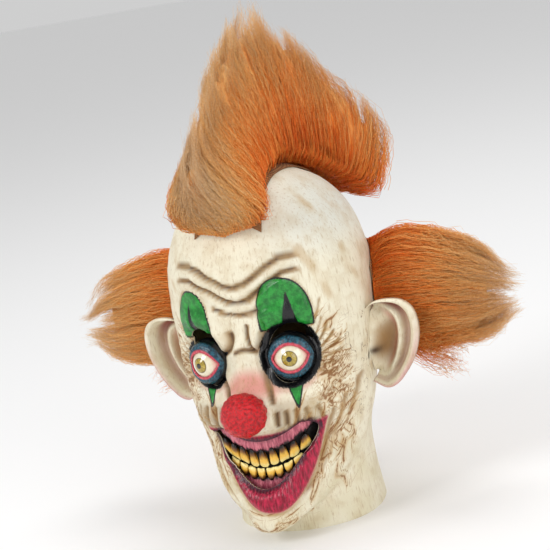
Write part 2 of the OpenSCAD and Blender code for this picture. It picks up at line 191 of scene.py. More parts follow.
def feed(tree, socket, value):
    """Links a socket to another node's output, or sets it to a number or colour."""
    if isinstance(value, bpy.types.NodeSocket):
        tree.links.new(value, socket)
    else:
        socket.default_value = value


def attribute(tree, name, field="Fac"):
    """Reads a value stored on the mesh."""
    node = tree.nodes.new("ShaderNodeAttribute")
    node.attribute_name = name
    return node.outputs[field]


def noise(tree, scale, detail=4.0, rough=0.55, vector=None, stretch=None):
    """Noise in Object coordinates, or along a given vector, as a value from 0 to 1."""
    node = tree.nodes.new("ShaderNodeTexNoise")
    if vector is None:
        vector = tree.nodes.new("ShaderNodeTexCoord").outputs["Object"]
    if stretch:
        mapping = tree.nodes.new("ShaderNodeMapping")
        mapping.inputs["Scale"].default_value = stretch
        tree.links.new(vector, mapping.inputs["Vector"])
        vector = mapping.outputs[0]
    tree.links.new(vector, node.inputs["Vector"])
    node.inputs["Scale"].default_value = scale
    node.inputs["Detail"].default_value = detail
    node.inputs["Roughness"].default_value = rough
    return node.outputs["Fac"]


def math(tree, operation, a, b=0.0, c=None):
    """One Math node."""
    node = tree.nodes.new("ShaderNodeMath")
    node.operation = operation
    feed(tree, node.inputs[0], a)
    feed(tree, node.inputs[1], b)
    if c is not None:
        feed(tree, node.inputs[2], c)
    return node.outputs[0]


def ramp(tree, value, low, high, to_low=0.0, to_high=1.0):
    """Maps low..high to to_low..to_high, smoothly and clamped."""
    node = tree.nodes.new("ShaderNodeMapRange")
    node.interpolation_type = "SMOOTHSTEP"
    for key, number in (("From Min", low), ("From Max", high), ("To Min", to_low), ("To Max", to_high)):
        node.inputs[key].default_value = number
    feed(tree, node.inputs["Value"], value)
    return node.outputs[0]


def mix(tree, amount, a, b, how="MIX"):
    """Mixes two colours."""
    node = tree.nodes.new("ShaderNodeMix")
    node.data_type = "RGBA"
    node.blend_type = how
    feed(tree, node.inputs["Factor"], amount)
    feed(tree, node.inputs["A"], a)
    feed(tree, node.inputs["B"], b)
    return node.outputs["Result"]


def bump(tree, shader, height, distance, strength=1.0, under=None):
    """A Bump node on the shader's normal."""
    node = tree.nodes.new("ShaderNodeBump")
    node.inputs["Distance"].default_value = distance
    node.inputs["Strength"].default_value = strength
    tree.links.new(height, node.inputs["Height"])
    if under is not None:
        tree.links.new(under, node.inputs["Normal"])
    tree.links.new(node.outputs[0], shader.inputs["Normal"])
    return node.outputs[0]


def ragged(tree, distance, grain, amount):
    """A distance plus amount times (grain - 1/2), so that an edge cut from it is uneven."""
    return math(tree, "ADD", distance, math(tree, "MULTIPLY", math(tree, "SUBTRACT", grain, 0.5), amount))


def coat(tree, shader, colour, roughness):
    """Gives the shader its colour and its roughness."""
    feed(tree, shader.inputs["Base Color"], colour)
    feed(tree, shader.inputs["Roughness"], roughness)


def rgb(r, g, b):
    """A screen colour from 0 to 255 as a linear colour with alpha."""
    c = np.array([r, g, b]) / 255.0
    c = np.where(c <= 0.04045, c / 12.92, ((c + 0.055) / 1.055) ** 2.4)
    return (*c.tolist(), 1.0)


# %% [markdown]
# ## The cast skin
# The real skin is latex slushed round a plaster mould, about 2 mm thick. Its
# plain form is a stack of closed rings, blended by a Catmull-Rom curve, and the
# face is pushed out of that form and carved into it along the surface's own
# normal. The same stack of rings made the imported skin, so the two agree.

# %% The plain skull
# half width, reach ahead and behind, height at the front, side and back, narrowing
SECTIONS = np.array([
    [64, 52, 72, 0, 0, 0, 0], [62, 52, 70, 8, 26, 26, 0], [62, 54, 72, 14, 52, 52, 0.05],
    [66, 66, 76, 12, 68, 76, 0.15], [72, 82, 83, 13, 82, 100, 0.26], [77, 86, 90, 27, 98, 122, 0.28],
    [80, 80, 97, 47, 113, 142, 0.22], [82, 76, 102, 69, 127, 162, 0.15],
    [84, 73, 105, 93, 143, 182, 0.08], [86, 68, 107, 118, 158, 200, 0.03],
    [87, 61, 107, 146, 174, 216, -0.02], [88, 56, 106, 172, 191, 232, -0.06],
    [87, 55, 103, 196, 209, 246, -0.08], [84, 58, 97, 222, 229, 260, -0.06],
    [76, 54, 86, 249, 251, 274, -0.03], [60, 42, 67, 275, 274, 287, 0], [34, 23, 38, 294, 293, 298, 0],
    [0, 0, 0, 302, 302, 302, 0]], float)
TOP = len(SECTIONS) - 1
SKIN_T = 2.2
# a distance in mm that stands for "nowhere near"
FAR = 40.0


def section(v):
    """Catmull-Rom: four neighbouring rings blended by a cubic in the row number v."""
    padded = np.vstack([2 * SECTIONS[0] - SECTIONS[1], SECTIONS, 2 * SECTIONS[-1] - SECTIONS[-2]])
    i = np.clip(np.floor(v).astype(int), 0, TOP - 1)
    t = (v - i)[..., None]
    a, b, c, d = padded[i], padded[i + 1], padded[i + 2], padded[i + 3]
    return 0.5 * (2 * b + (c - a) * t + (2 * a - 5 * b + 4 * c - d) * t**2 + (3 * b - a - 3 * c + d) * t**3)


def skull(turn, v):
    """A ring at row v, at a turn in degrees from the front: an ellipse whose height
    follows two cosines, and which narrows towards the front by a share."""
    turn, v = np.broadcast_arrays(np.asarray(turn, float), np.asarray(v, float))
    w, ahead, behind, z_front, z_side, z_back, narrow = np.moveaxis(section(v), -1, 0)
    c, s = np.cos(np.radians(turn)), np.sin(np.radians(turn))
    mid = (z_front + z_back) / 2
    height = (mid + z_side) / 2 + (z_front - z_back) / 2 * c
    height = height + (mid - z_side) / 2 * np.cos(2 * np.radians(turn))
    return np.stack([w * s * (1 - narrow * np.maximum(c, 0) ** 2), np.where(c > 0, -ahead * c, -behind * c),
                     height], -1)


def skull_normal(turn, v):
    """Cross product of the two directions of the surface; level at the hem."""
    low = np.minimum(v, TOP - 0.3)
    across = skull(turn + 1, low) - skull(turn - 1, low)
    up = skull(turn, low + 0.05) - skull(turn, np.maximum(low - 0.05, 0))
    n = unit(np.cross(across, up))
    return np.where((np.asarray(v) < 0.01)[..., None], unit(n * [1, 1, 0]), n)


print("crown at", skull(0.0, float(TOP)).round(1), "mm")

# %% [markdown]
# ## Where the face is carved
# The sculptor's drawing is flat: x across and z up, seen from the front. For every
# point of the skin the distance to a fold's line gives how deep the groove is
# there, and the distance to an outline says what paint it gets. The right half
# uses the left half's drawing, mirrored, but shifted a little at the eyes,
# because the sculpt isn't quite even.

# %% Distances to lines and outlines
EYE_X, EYE_RIGHT, EYE_Z = 38.0, -43.5, 154.0


def side_x(x, z):
    """Where a point lies in the left half's drawing: mirrored, and at the eyes the right half's
    features stand 6 mm further out, and 17 mm at the inner corner of the eye."""
    out = 6 + 11 * np.exp(-((np.abs(x) - 28) / 14) ** 2)
    high = np.where(x < 0, np.maximum(np.abs(x) - out, 0), x)
    return np.abs(x) + (high - np.abs(x)) * smooth(120, 150, z)


def side_z(x, z):
    """The right half sits lower at the brow, by up to 5 mm, and higher under the eye."""
    return z + (5 * smooth(130, 185, z) - 6 * np.exp(-((z - 122) / 10) ** 2)) * smooth(0, -14, x)


def to_line(x, z, line):
    """Distance of each point to a chain of segments, and how far along it (0 to 1)."""
    line = np.array(line, float)
    a, d = line[:-1], np.diff(line, axis=0)
    length = np.linalg.norm(d, axis=1)
    before = np.concatenate([[0], np.cumsum(length)[:-1]])
    p = np.stack([x, z], -1)[..., None, :] - a
    t = np.clip((p * d).sum(-1) / length**2, 0, 1)
    gap = np.linalg.norm(p - t[..., None] * d, axis=-1)
    nearest = gap.argmin(-1)
    pick = lambda q: np.take_along_axis(q, nearest[..., None], -1)[..., 0]
    return pick(gap), (pick(t * length) + before[nearest]) / length.sum()


def to_outline(x, z, outline):
    """Signed distance to a closed outline: negative inside."""
    ring = np.array(outline + outline[:1], float)
    gap, _ = to_line(x, z, ring)
    inside = np.zeros(x.shape, bool)
    for (ax, az), (bx, bz) in zip(ring[:-1], ring[1:]):
        crosses = (az > z) != (bz > z)
        inside ^= crosses & (x < (bx - ax) * (z - az) / np.where(bz == az, 1e-9, bz - az) + ax)
    return np.where(inside, -gap, gap)


def oval(x, z, centre, half, power):
    """Signed distance to |dx/a|^power + |dz/b|^power = 1, negative inside. With q the left side
    to the power 1/power, it is the distance from the centre times 1 - 1/q."""
    dx, dz = x - centre[0] + 1e-6, z - centre[1]
    q = (np.abs(dx / half[0]) ** power + np.abs(dz / half[1]) ** power) ** (1 / power)
    return np.hypot(dx, dz) * (1 - 1 / q)


def wedge(x, z, foot, half, height, lean):
    """Signed distance to a triangle: a level foot and a tip height above it, lean to one side."""
    tip = (foot[0] + lean, foot[1] + height)
    return to_outline(x, z, [(foot[0] - half, foot[1]), tip, (foot[0] + half, foot[1])])


def to_strokes(x, z, strokes):
    """Distance to the nearest brush stroke, positive on one side of it and negative on the other."""
    best = np.full(x.shape, FAR)
    for line in strokes:
        line = np.array(line, float)
        low, high = line.min(0) - 4, line.max(0) + 4
        at = (x > low[0]) & (x < high[0]) & (z > low[1]) & (z < high[1])
        if not at.any():
            continue
        gap, along = to_line(x[at], z[at], line)
        ahead = line[-1] - line[0]
        side = np.sign(ahead[0] * (z[at] - line[0, 1]) - ahead[1] * (x[at] - line[0, 0]))
        thin = gap * side + side * 1.5 * np.abs(2 * along - 1) ** 6
        best[at] = np.where(np.abs(thin) < np.abs(best[at]), thin, best[at])
    return best


# Strokes: how many, the ranges of x and z, the range of length, the range of the
# angle (none means pointing away from the eye) and how much they bend.
STROKE_GROUPS = [
    (26, ((60, 74), (128, 182)), (9, 20), None, 4.0),
    (40, ((56, 80), (104, 142)), (5, 13), (0, np.pi), 2.5),
    (34, ((34, 82), (40, 112)), (16, 38), (1.05, 1.5), 2.0),
    (12, ((4, 24), (14, 34)), (5, 12), (0, 0.6), 1.5)]


def brush_strokes():
    """Short curved strokes: fans beside the eyes, scratches on the cheeks, streaks down the jaw and
    a few marks on the chin."""
    local = np.random.default_rng(17)
    strokes = []
    for count, place, size, lean, bend in STROKE_GROUPS:
        for _ in range(count):
            x, z = local.uniform(*place[0]), local.uniform(*place[1])
            turn = np.arctan2(z - EYE_Z, x - 40) if lean is None else local.uniform(*lean)
            half, sag = local.uniform(*size) / 2, local.normal(0, bend)
            t = np.linspace(-1, 1, 5)
            along = np.stack([x + half * t * np.cos(turn), z + half * t * np.sin(turn)], 1)
            strokes.append(along + np.outer(sag * (1 - t**2), [-np.sin(turn), np.cos(turn)]))
    return strokes


# %% [markdown]
# ## The face's drawing
# Each outline is a formula: the brow patch is an oval cut off level above the
# eye, the socket a full oval, the slit and the tear are triangles, and the grin
# lies between a steep curve below and a shallow one above. The crow's feet fan
# out from the eye, the pleats stand evenly along the upper lip, and the jaw's
# arcs run alongside the edge of the grin. The folds of the forehead, the frown
# and the side of the nose have places of their own.

# %% Outlines of the face
GRIN_X, GRIN_LOW, GRIN_TALL, GRIN_LEFT, GRIN_RIGHT, GRIN_POWER = 9.0, 31.0, 67.0, 47.0, 56.0, 2.3


def brow_gap(x, z):
    """Distance to the brow patch."""
    return np.maximum(oval(x, z, (37, 186), (21, 34), 2.3), 178 - z)


def slit_gap(x, z):
    """Distance to the dark slit that parts the brow patch."""
    return wedge(x, z, (40, 177), 7, 32, 2)


def socket_gap(x, z):
    """Distance to the dark oval round the eye."""
    return oval(x, z, (36, 156), (25, 27), 2.2)


def tear_gap(x, z):
    """Distance to the painted tear under the eye."""
    return wedge(x, z, (38, 134), 6, -20, 1)


def lips_gap(x, z):
    """Distance to the lips. Lower edge z = low + tall u^power, with u = |x - middle| / half width;
    upper edge z = 94 + 6 ((x - 2) / 50)^2; each height difference is divided by sqrt(1 + slope^2)."""
    half = np.where(x > GRIN_X, GRIN_LEFT, GRIN_RIGHT)
    u = np.abs(x - GRIN_X) / half
    steep = GRIN_TALL * GRIN_POWER * u ** (GRIN_POWER - 1) / half
    low = (GRIN_LOW + GRIN_TALL * u**GRIN_POWER - z) / np.sqrt(1 + steep**2)
    return np.maximum(low, z - 94 - 6 * ((x - 2) / 50) ** 2)


def arched(reach, low, rise, period):
    """Fold across both halves: z = low + rise sin^2(pi x / period), for x from -reach to reach."""
    x = np.linspace(-reach, reach, 13)
    return np.stack([x, low + rise * np.sin(np.pi * x / period) ** 2], 1)


def bent(start, end, sag):
    """A parabola from start to end, standing off its chord by sag to the left of the way."""
    start, way = np.array(start, float), np.subtract(end, start)
    t = np.linspace(0, 1, 7)[:, None]
    return start + way * t + 4 * sag * t * (1 - t) * unit(np.array([-way[1], way[0]]))


def beside_grin(beyond, low, high):
    """An arc outside the left edge of the grin, from one height to another."""
    z = np.linspace(low, high, 7)
    return np.stack([GRIN_X + (GRIN_LEFT + beyond) * ((z - GRIN_LOW) / GRIN_TALL) ** (1 / GRIN_POWER), z], 1)


def crow_foot(k):
    """Line k of the fan beside the eye: 11 degrees apart at the eye and 14 at the far end."""
    turn = np.radians([11 * k - 36, 14 * k - 30])
    reach = np.array([23, 38])
    (x0, x1), (z0, z1) = EYE_X + reach * np.cos(turn), EYE_Z + reach * np.sin(turn)
    return bent((x0, z0), (x1, z1), -1)


def temple_line(k):
    """Faint line k that climbs beside the brow patch."""
    return bent((57 - k, 166 + 9 * k), (64 + 2 * k, 184 + 16 * k), -1)


def pleat(k):
    """Pleat k of the upper lip, leaning outwards more and more."""
    x = 21 + 7.4 * k
    return bent((x, 114), (x - 1 + 0.3 * k**2, 99), 0.5)


def jaw_arc(k):
    """Arc k up the jaw, each further out and higher."""
    return beside_grin(4 + 5 * k, 64 + 16 * k, 110 + 9 * k)


def chin_arc(k):
    """Arc k from the chin up to the corner of the grin."""
    return beside_grin(3 + 3.5 * k, 36 + 5 * k, 80)


# Each fold is a line, a half width and a depth.
LONG_FOLDS = [(arched(62, 217, 20, 94), 2.6, 3.0), (arched(62, 203, 22, 96), 2.6, 3.0),
              (arched(28, 192, 17, 100), 2.2, 2.4), (arched(12, 164, -8, 48), 2.0, 2.6)]
FROWN_FOLDS = [(bent((4, 186), (9, 160), -3), 1.8, 3.0), (bent((19, 188), (11, 161), 2), 2.0, 3.2),
               (bent((16, 164), (21, 116), -3), 2.2, 3.2)]
SIDE_FOLDS = (FROWN_FOLDS + [(crow_foot(k), 1.2, 1.7) for k in range(6)]
              + [(temple_line(k), 1.2, 1.2) for k in range(2)]
              + [(pleat(k), 2.1, 3.2 - 0.35 * k) for k in range(5)]
              + [(jaw_arc(k), 1.7, 1.6) for k in range(3)] + [(chin_arc(k), 1.5, 1.2) for k in range(3)])
OUTLINES = {"brow": brow_gap, "slit": slit_gap, "socket": socket_gap, "tear": tear_gap}
print(len(LONG_FOLDS) + 2 * len(SIDE_FOLDS), "folds")

# %% [markdown]
# ## Pushing and carving
# Hills stand for flesh: brow, cheekbones, lips, chin. A groove has a soft lip on
# each side, as a modelling tool leaves in clay.

# %% Relief of the face
def hill(x, z, x0, z0, rx, rz):
    """A bell curve of height 1."""
    return np.exp(-((x - x0) / rx) ** 2 - ((z - z0) / rz) ** 2)


def plateau(x, z, x0, z0, r):
    """Flat inside the radius r, then falling steeply."""
    return 1 / (1 + (((x - x0) ** 2 + (z - z0) ** 2) / r**2) ** 4)


def groove(gap, along, half, depth):
    """A bell-shaped cut with a low lip beside it, fading at both ends of the line."""
    ends = smooth(0, 0.18, along) * smooth(0, 0.18, 1 - along)
    lip = 0.42 * np.exp(-((gap - 2.2 * half) / (1.5 * half)) ** 2)
    return ends * depth * (lip - np.exp(-(gap / half) ** 2))


# Flat pads: height, centre x and z, radius.
NOSE_PAD, CHIN_KNOB, SOCKET_DEPTH, SOCKET_R = (5.5, 0, 117, 19), (2.4, 4, 15, 21), 5.0, 24
# Hills across the middle: height, centre x and z, half width and half height.
MIDDLE_HILLS = {"nose_bridge": (6.5, -5, 150, 9, 22), "lower_lip": (2.0, 6, 41, 24, 8),
                "upper_lip": (2.5, 0, 104, 26, 6), "chin_crease": (-1.5, 0, 26, 26, 4),
                "right_of_chin": (-4.0, -27, 20, 9, 16), "left_of_chin": (-4.0, 35, 22, 9, 16)}
# The same for hills that both halves have.
SIDE_HILLS = {"frown": (3.2, 11, 174, 5.5, 12), "brow": (3.0, 34, 192, 22, 9),
              "cheekbone": (4.5, 50, 112, 15, 15), "forehead": (2.0, 36, 226, 26, 9),
              "hollow_cheek": (-2.5, 62, 78, 14, 30)}


def flesh(x, z, xs):
    """Sum of the pads and hills, in mm, less the hollow of each eye."""
    eye = np.where(x < 0, EYE_RIGHT, EYE_X)
    height = -SOCKET_DEPTH * plateau(x, z, eye, EYE_Z + 1, SOCKET_R)
    for tall, *place in (NOSE_PAD, CHIN_KNOB):
        height += tall * plateau(x, z, *place)
    for tall, *place in MIDDLE_HILLS.values():
        height += tall * hill(x, z, *place)
    for tall, *place in SIDE_HILLS.values():
        height += tall * hill(xs, z, *place)
    return height


def face_fields(p):
    """All that the face needs at the points p: relief in mm, wash from 0 to 1, and distances to
    the outlines."""
    x, y, z = np.moveaxis(p, -1, 0)
    xs = side_x(x, z)
    front = smooth(25, -15, y)
    relief = flesh(x, z, xs)
    wash = np.zeros(x.shape)
    near = (y < 30) & (z < 262)
    xn, xsn, zn, zsn = x[near], xs[near], z[near], side_z(x, z)[near]
    jitter = waves(p[near], 18, 3)
    for folds, across, up in ((LONG_FOLDS, xn, zn), (SIDE_FOLDS, xsn, zsn)):
        for line, half, depth in folds:
            gap, along = to_line(across + jitter * 0.5, up + jitter * 0.6, line)
            relief[near] += groove(gap, along, half, depth)
            ends = smooth(0, 0.1, along) * smooth(0, 0.1, 1 - along)
            line_wash = ends * np.exp(-(gap / (half * 1.15)) ** 2) * min(1, depth / 2.4)
            wash[near] = np.maximum(wash[near], line_wash)
    fields = {}
    gaps = {key: gap(xsn, zsn) for key, gap in OUTLINES.items()} | {"lips": lips_gap(xn, zn)}
    for key, gap in gaps.items():
        far = np.full(x.shape, FAR)
        far[near] = np.minimum(gap, FAR)
        fields[key] = np.where(y < 12, far, FAR)
    fields["stroke"] = np.full(x.shape, FAR)
    fields["stroke"][near] = to_strokes(xsn, zsn, brush_strokes())
    # the strokes stop at the side of the face
    fields["stroke"] *= 1 + 30 * smooth(-30, -8, y)
    relief += 1.7 * smooth(0.8, -1.6, fields["brow"]) * smooth(-0.5, 1.2, fields["slit"])
    relief -= 0.7 * np.exp(-((fields["brow"] - 1.4) / 1.1) ** 2)
    lips = smooth(1.5, -4.5, fields["lips"])
    relief += 3.2 * lips + 0.35 * lips * np.sin(xs * 2.1 + 2 * np.sin(z / 6))
    relief -= 1.6 * np.exp(-((fields["lips"] - 2.2) / 1.8) ** 2)
    strands = np.sin(xs * 1.5 + 2.2 * np.sin(z / 17) + 1.3 * waves(p, 30, 5))
    relief += 0.25 * strands * smooth(46, 60, np.abs(x)) * smooth(150, 110, z) * front
    relief = relief * front + 0.35 * waves(p, 40, 11) * smooth(2, 60, z) + 0.12 * waves(p, 9, 12) * front
    fields["relief"], fields["wash"] = relief, wash * front
    return fields


print("relief at the nose pad", face_fields(np.array([[[0.0, -68.0, 117.0]]]))["relief"].round(2))

# %% [markdown]
# ## A grid that fits its openings
# A round hole cut through a square grid has a jagged edge. Here the grid itself
# is bent: each opening is a box of whole cells, and the corners of the box are
# pulled in until it is an oval, fading out around it. The cells inside are left
# out, and the edge is smooth.

# %% The skin's grid
# each opening: range of turn in degrees, range of row, and how far its ends rise in rows
MOUTH = ((-36.0, 41.0), (6.1, 7.85), 0.42)
EYES = (((11.0, 39.0), (9.45, 11.35), 0.0), ((-43.5, -15.5), (9.45, 11.35), 0.0))
EAR_HOLES = (((84.8, 88.6), (7.45, 7.92), 0.0), ((-88.6, -84.8), (7.45, 7.92), 0.0))
OPENINGS = (MOUTH, *EYES, *EAR_HOLES)
# the flaps: top row, half angles at the top and at the hem, half angle of the slit
FLAP_ROWS, FLAP_TOP, FLAP_HEM, SLIT_HALF = 5.0, 9.0, 50.0, 0.45
# share of the way from the side of the head to the nape where the hinge column lies
HINGE = 0.8


def rounded(turn, v, box):
    """Square to disc: (a, b) goes to (a sqrt(1 - b^2/2), b sqrt(1 - a^2/2)), fading out to twice
    the size."""
    (t0, t1), (v0, v1), rise = box
    q = np.stack([(turn - (t0 + t1) / 2) / ((t1 - t0) / 2), (v - (v0 + v1) / 2) / ((v1 - v0) / 2)], -1)
    far = np.abs(q).max(-1, keepdims=True)
    fade = np.clip(2 - far, 0, 1)
    e = q / np.maximum(far, 1e-6)
    a, b = e[..., 0], e[..., 1]
    disc = np.stack([a * np.sqrt(1 - b**2 / 2), b * np.sqrt(1 - a**2 / 2)], -1) * far
    r = q * (1 - fade) + disc * fade
    lift = rise * fade[..., 0] * q[..., 0] ** 2
    return (t0 + t1) / 2 + r[..., 0] * (t1 - t0) / 2, (v0 + v1) / 2 + r[..., 1] * (v1 - v0) / 2 + lift


def spaced(stops, steps):
    """Numbers from the first stop to the last, each stretch in equal steps of about its own size."""
    parts = [np.linspace(a, b, max(1, round((b - a) / s)) + 1)[:-1]
             for a, b, s in zip(stops, stops[1:], steps)]
    return np.concatenate(parts + [[stops[-1]]])


def fan(v):
    """Half angle of the two flaps: wide at the hem, narrow at the top of the slit."""
    return np.where(v >= FLAP_ROWS, FLAP_TOP, FLAP_TOP + (FLAP_HEM - FLAP_TOP) * (1 - v / FLAP_ROWS))


front_cols = spaced([0, 11, 15.5, 39, 42.5, 43.5, 60, 84.8, 88.6, 90],
                    [1, 0.9, 0.95, 0.9, 1, 1.1, 1.6, 1.0, 1.4])
back_cols = 90 + 90 * spaced([0, HINGE, 1], [0.035, 0.05])[1:]
half_cols = np.concatenate([front_cols, back_cols])
cols = np.concatenate([-half_cols[:0:-1], half_cols])
rows = spaced([0, 3.4, 5, 6.05, 7.45, 7.92, 9.45, 11.35, 13.6, 16.8],
              [0.17, 0.08, 0.07, 0.07, 0.067, 0.073, 0.068, 0.085, 0.16])


def column_turn(c, v):
    """Turn of column c at row v. Past 90 the columns close up so that the hinge column follows the fan."""
    share = (np.abs(c) - 90) / 90
    hinge = 180 - fan(v)
    outside = 90 + share / HINGE * (hinge - 90)
    inside = hinge + (share - HINGE) / (1 - HINGE) * (180 - SLIT_HALF - hinge)
    turn = np.where(share <= 0, np.abs(c), np.where(share <= HINGE, outside, inside))
    return np.sign(c) * turn


C, V = np.meshgrid(cols, rows)
turn_grid, row_grid = column_turn(C, V), V
for box in OPENINGS:
    turn_grid, row_grid = rounded(turn_grid, row_grid, box)
print("skin grid", C.shape)

# %% Which cells are skin
mid_c, mid_v = (C[:-1, :-1] + C[1:, 1:]) / 2, (V[:-1, :-1] + V[1:, 1:]) / 2
cell_open = np.zeros(mid_c.shape, bool)
for (t0, t1), (v0, v1), _ in OPENINGS:
    cell_open |= (mid_c > t0) & (mid_c < t1) & (mid_v > v0) & (mid_v < v1)
in_flap = (np.abs(mid_c) > 90 + 90 * HINGE) & (mid_v < FLAP_ROWS)
# the last column joins the first one above the slit
seam_open = ((rows[:-1] + rows[1:]) / 2 < FLAP_ROWS)[:, None]
keep_skin = np.hstack([~cell_open & ~in_flap, ~seam_open])
print(int(keep_skin.sum()), "cells of skin")

# %% [markdown]
# ## Both sides of the latex
# The outer and the inner face share one grid, and every open edge gets a strip
# between them, so the skin is a closed body with a real thickness. The edges of
# the mouth and of the sockets roll inwards, like lips. The two nape
# flaps are cut from the same grid, and they keep the grid's normals, so no line
# shows where they leave the skin.

# %% Outer and inner points
plain = skull(turn_grid, row_grid)
wall_dir = skull_normal(turn_grid, row_grid)
face = face_fields(plain)
on_face = np.clip(row_grid - 3.4, 0, 1)


def outside_box(box):
    """How many mm a grid point lies outside the edge of an opening."""
    (t0, t1), (v0, v1), _ = box
    a = np.maximum(np.abs(C - (t0 + t1) / 2) - (t1 - t0) / 2, 0) * 1.3
    b = np.maximum(np.abs(V - (v0 + v1) / 2) - (v1 - v0) / 2, 0) * 20
    return np.hypot(a, b)


rim = outside_box(MOUTH)
roll = 3.4 * np.clip(1 - rim / 6, 0, 1) ** 2
for box in EYES:
    roll += 2.0 * np.clip(1 - outside_box(box) / 4, 0, 1) ** 2
push = face["relief"] * on_face - roll
outer = plain + wall_dir * push[..., None]
inner = plain + wall_dir * (push - SKIN_T)[..., None]


def grid_normals(p):
    """Cross product of neighbouring differences, with the first and last column joined."""
    wide = np.hstack([p[:, -1:], p, p[:, :1]])
    across = wide[:, 2:] - wide[:, :-2]
    up = np.gradient(p, axis=0)
    return unit(np.cross(across, up))


outer_n, inner_n = grid_normals(outer), -grid_normals(inner)
print("outer skin reaches", outer.reshape(-1, 3).max(0).round(1))


# %% A wall from two grids
def wall_faces(nr, nc, kept, wrap, cap=False):
    """Outer cells, inner cells turned over, a strip along every open edge, and a fan over the last row."""
    low = nr * nc
    outside = grid_faces(nr, nc, kept, wrap)
    inside = (outside + low)[:, ::-1]
    cells = kept.shape[1]
    r, c = np.nonzero(kept)
    n = (c + 1) % nc
    strips = []
    def neighbour(dr, dc):
        rr, cc = r + dr, c + dc
        if wrap:
            cc = cc % cells
        ok = (rr >= 0) & (rr < nr - 1) & (cc >= 0) & (cc < cells)
        return np.where(ok, kept[np.clip(rr, 0, nr - 2), np.clip(cc, 0, cells - 1)], False)
    for dr, dc, a, b in ((-1, 0, r * nc + c, r * nc + n), (1, 0, (r + 1) * nc + n, (r + 1) * nc + c),
                         (0, -1, (r + 1) * nc + c, r * nc + c), (0, 1, r * nc + n, (r + 1) * nc + n)):
        bare = ~neighbour(dr, dc)
        if cap and dr == 1:
            bare &= r < nr - 2
        strips.append(np.stack([b[bare], a[bare], a[bare] + low, b[bare] + low], 1))
    faces = [np.concatenate([outside, inside] + strips)]
    if cap:
        a = (nr - 1) * nc + np.arange(nc)
        b = (nr - 1) * nc + (np.arange(nc) + 1) % nc
        faces.append(np.concatenate([np.stack([a, b, np.full(nc, 2 * low)], 1),
                                     np.stack([b + low, a + low, np.full(nc, 2 * low + 1)], 1)]))
    return faces


nr, nc = C.shape
tips = np.stack([outer[-1].mean(0), inner[-1].mean(0)])
skin_points = np.concatenate([outer.reshape(-1, 3), inner.reshape(-1, 3), tips])
skin_normals = np.concatenate([outer_n.reshape(-1, 3), inner_n.reshape(-1, 3), [[0, 0, 1], [0, 0, -1]]])

# %% [markdown]
# ## Paint on the skin, point by point
# The painter first sprays the cast cream, then adds a warm shade low on the
# jaw, pink round the nose and the sockets, and last wipes brown into the folds.
# The wash is strongest where the surface is hollow, so the relief itself says
# where the brown goes. A cool grey over the dome's left side and towards the
# back is painted shade, on the sides away from the lights.

# %% Airbrushed colour, and painted shade on the dome
def lay(base, colour, amount):
    """Paints a colour over another by an amount from 0 to 1."""
    return base + (np.array(rgb(*colour)[:3]) - base) * np.clip(amount, 0, 1)[..., None]


def hollow(height, times):
    """How far each point lies below the average of its neighbours, blurred over the grid."""
    blur = height.copy()
    for _ in range(times):
        p = np.pad(blur, ((1, 1), (0, 0)), "edge")
        q = np.hstack([p[1:-1, -1:], p[1:-1], p[1:-1, :1]])
        blur = (p[:-2] + p[2:] + q[:, :-2] + q[:, 2:] + 2 * blur) / 6
    return blur - height


px, py, pz = np.moveaxis(plain, -1, 0)
cavity = smooth(0.05, 0.9, hollow(face["relief"], 8)) * smooth(252, 222, pz)
patchy = 0.5 + 0.5 * waves(plain, 26, 21)
CREAM = (236, 229, 205)
colour = np.ones(px.shape + (3,)) * rgb(*CREAM)[:3]
colour = lay(colour, (217, 207, 172), 0.55 * smooth(140, 60, pz) * patchy)
# painted shade: a cool grey over the left side of the dome, the side away from the key light
colour = lay(colour, (205, 208, 205), 0.6 * smooth(8, 70, px) * smooth(215, 262, pz))
# painted shade: greyer towards the back of the head, which faces away from the lights
colour = lay(colour, (214, 212, 200), 0.5 * smooth(40, 90, py))
nose_gap = np.linalg.norm(plain - NOSE - [0, 12, 6], axis=-1)
colour = lay(colour, (222, 120, 112), 0.75 * smooth(33, 20, nose_gap) * smooth(118, 132, pz))
under_eye = np.exp(-((face["socket"] - 1) / 2.4) ** 2) * smooth(150, 128, pz)
colour = lay(colour, (206, 120, 108), 0.55 * under_eye)
colour = lay(colour, (176, 138, 80), 0.7 * cavity * np.clip(0.5 + 0.6 * patchy, 0, 1))
colour = lay(colour, (158, 114, 54), 0.7 * smooth(0.15, 0.75, face["wash"]))
colour = lay(colour, (74, 42, 18), 0.95 * face["wash"] ** 4)
pleats = smooth(124, 116, pz) * smooth(94, 100, pz) * smooth(16, 22, np.abs(px)) * smooth(60, 50, np.abs(px))
colour = lay(colour, (142, 116, 78), 0.4 * pleats * smooth(20, -20, py))
colour = lay(colour, (140, 108, 76), 0.4 * smooth(5, 1.5, face["socket"]) * smooth(30, 10, np.abs(px + 4)))
tan_spots = smooth(0.5, 1.6, waves(plain, 18, 31)) * smooth(20, 70, pz) * smooth(60, -10, py)
colour = lay(colour, (188, 152, 96), 0.5 * tan_spots * smooth(40, 56, np.abs(px)))
skin_colour = np.concatenate([colour, np.ones(px.shape + (1,))], -1).reshape(-1, 4)
inner_colour = np.tile(np.array([rgb(214, 196, 150)]), (px.size, 1))
tip_colour = np.array([skin_colour[-1], inner_colour[0]])


def outer_only(values, inner=FAR):
    """Values of the outer grid, with one number for the inner grid and the two tips."""
    return np.concatenate([values.ravel(), np.full(values.size + 2, inner)])


scratched = (smooth(44, 58, side_x(px, pz)) * smooth(186, 168, pz) * smooth(70, 110, pz)
             * smooth(35, 5, py))
skin_values = {
    "paint": np.concatenate([skin_colour, inner_colour, tip_colour]),
    "green": outer_only(np.minimum(face["brow"], face["tear"])), "black": outer_only(face["slit"]),
    "socket": outer_only(face["socket"]), "lips": outer_only(face["lips"]),
    "stroke": outer_only(face["stroke"]), "rim": outer_only(rim), "scratch": outer_only(scratched, 0.0)}
print("cavity share", round(float(cavity.mean()), 3))

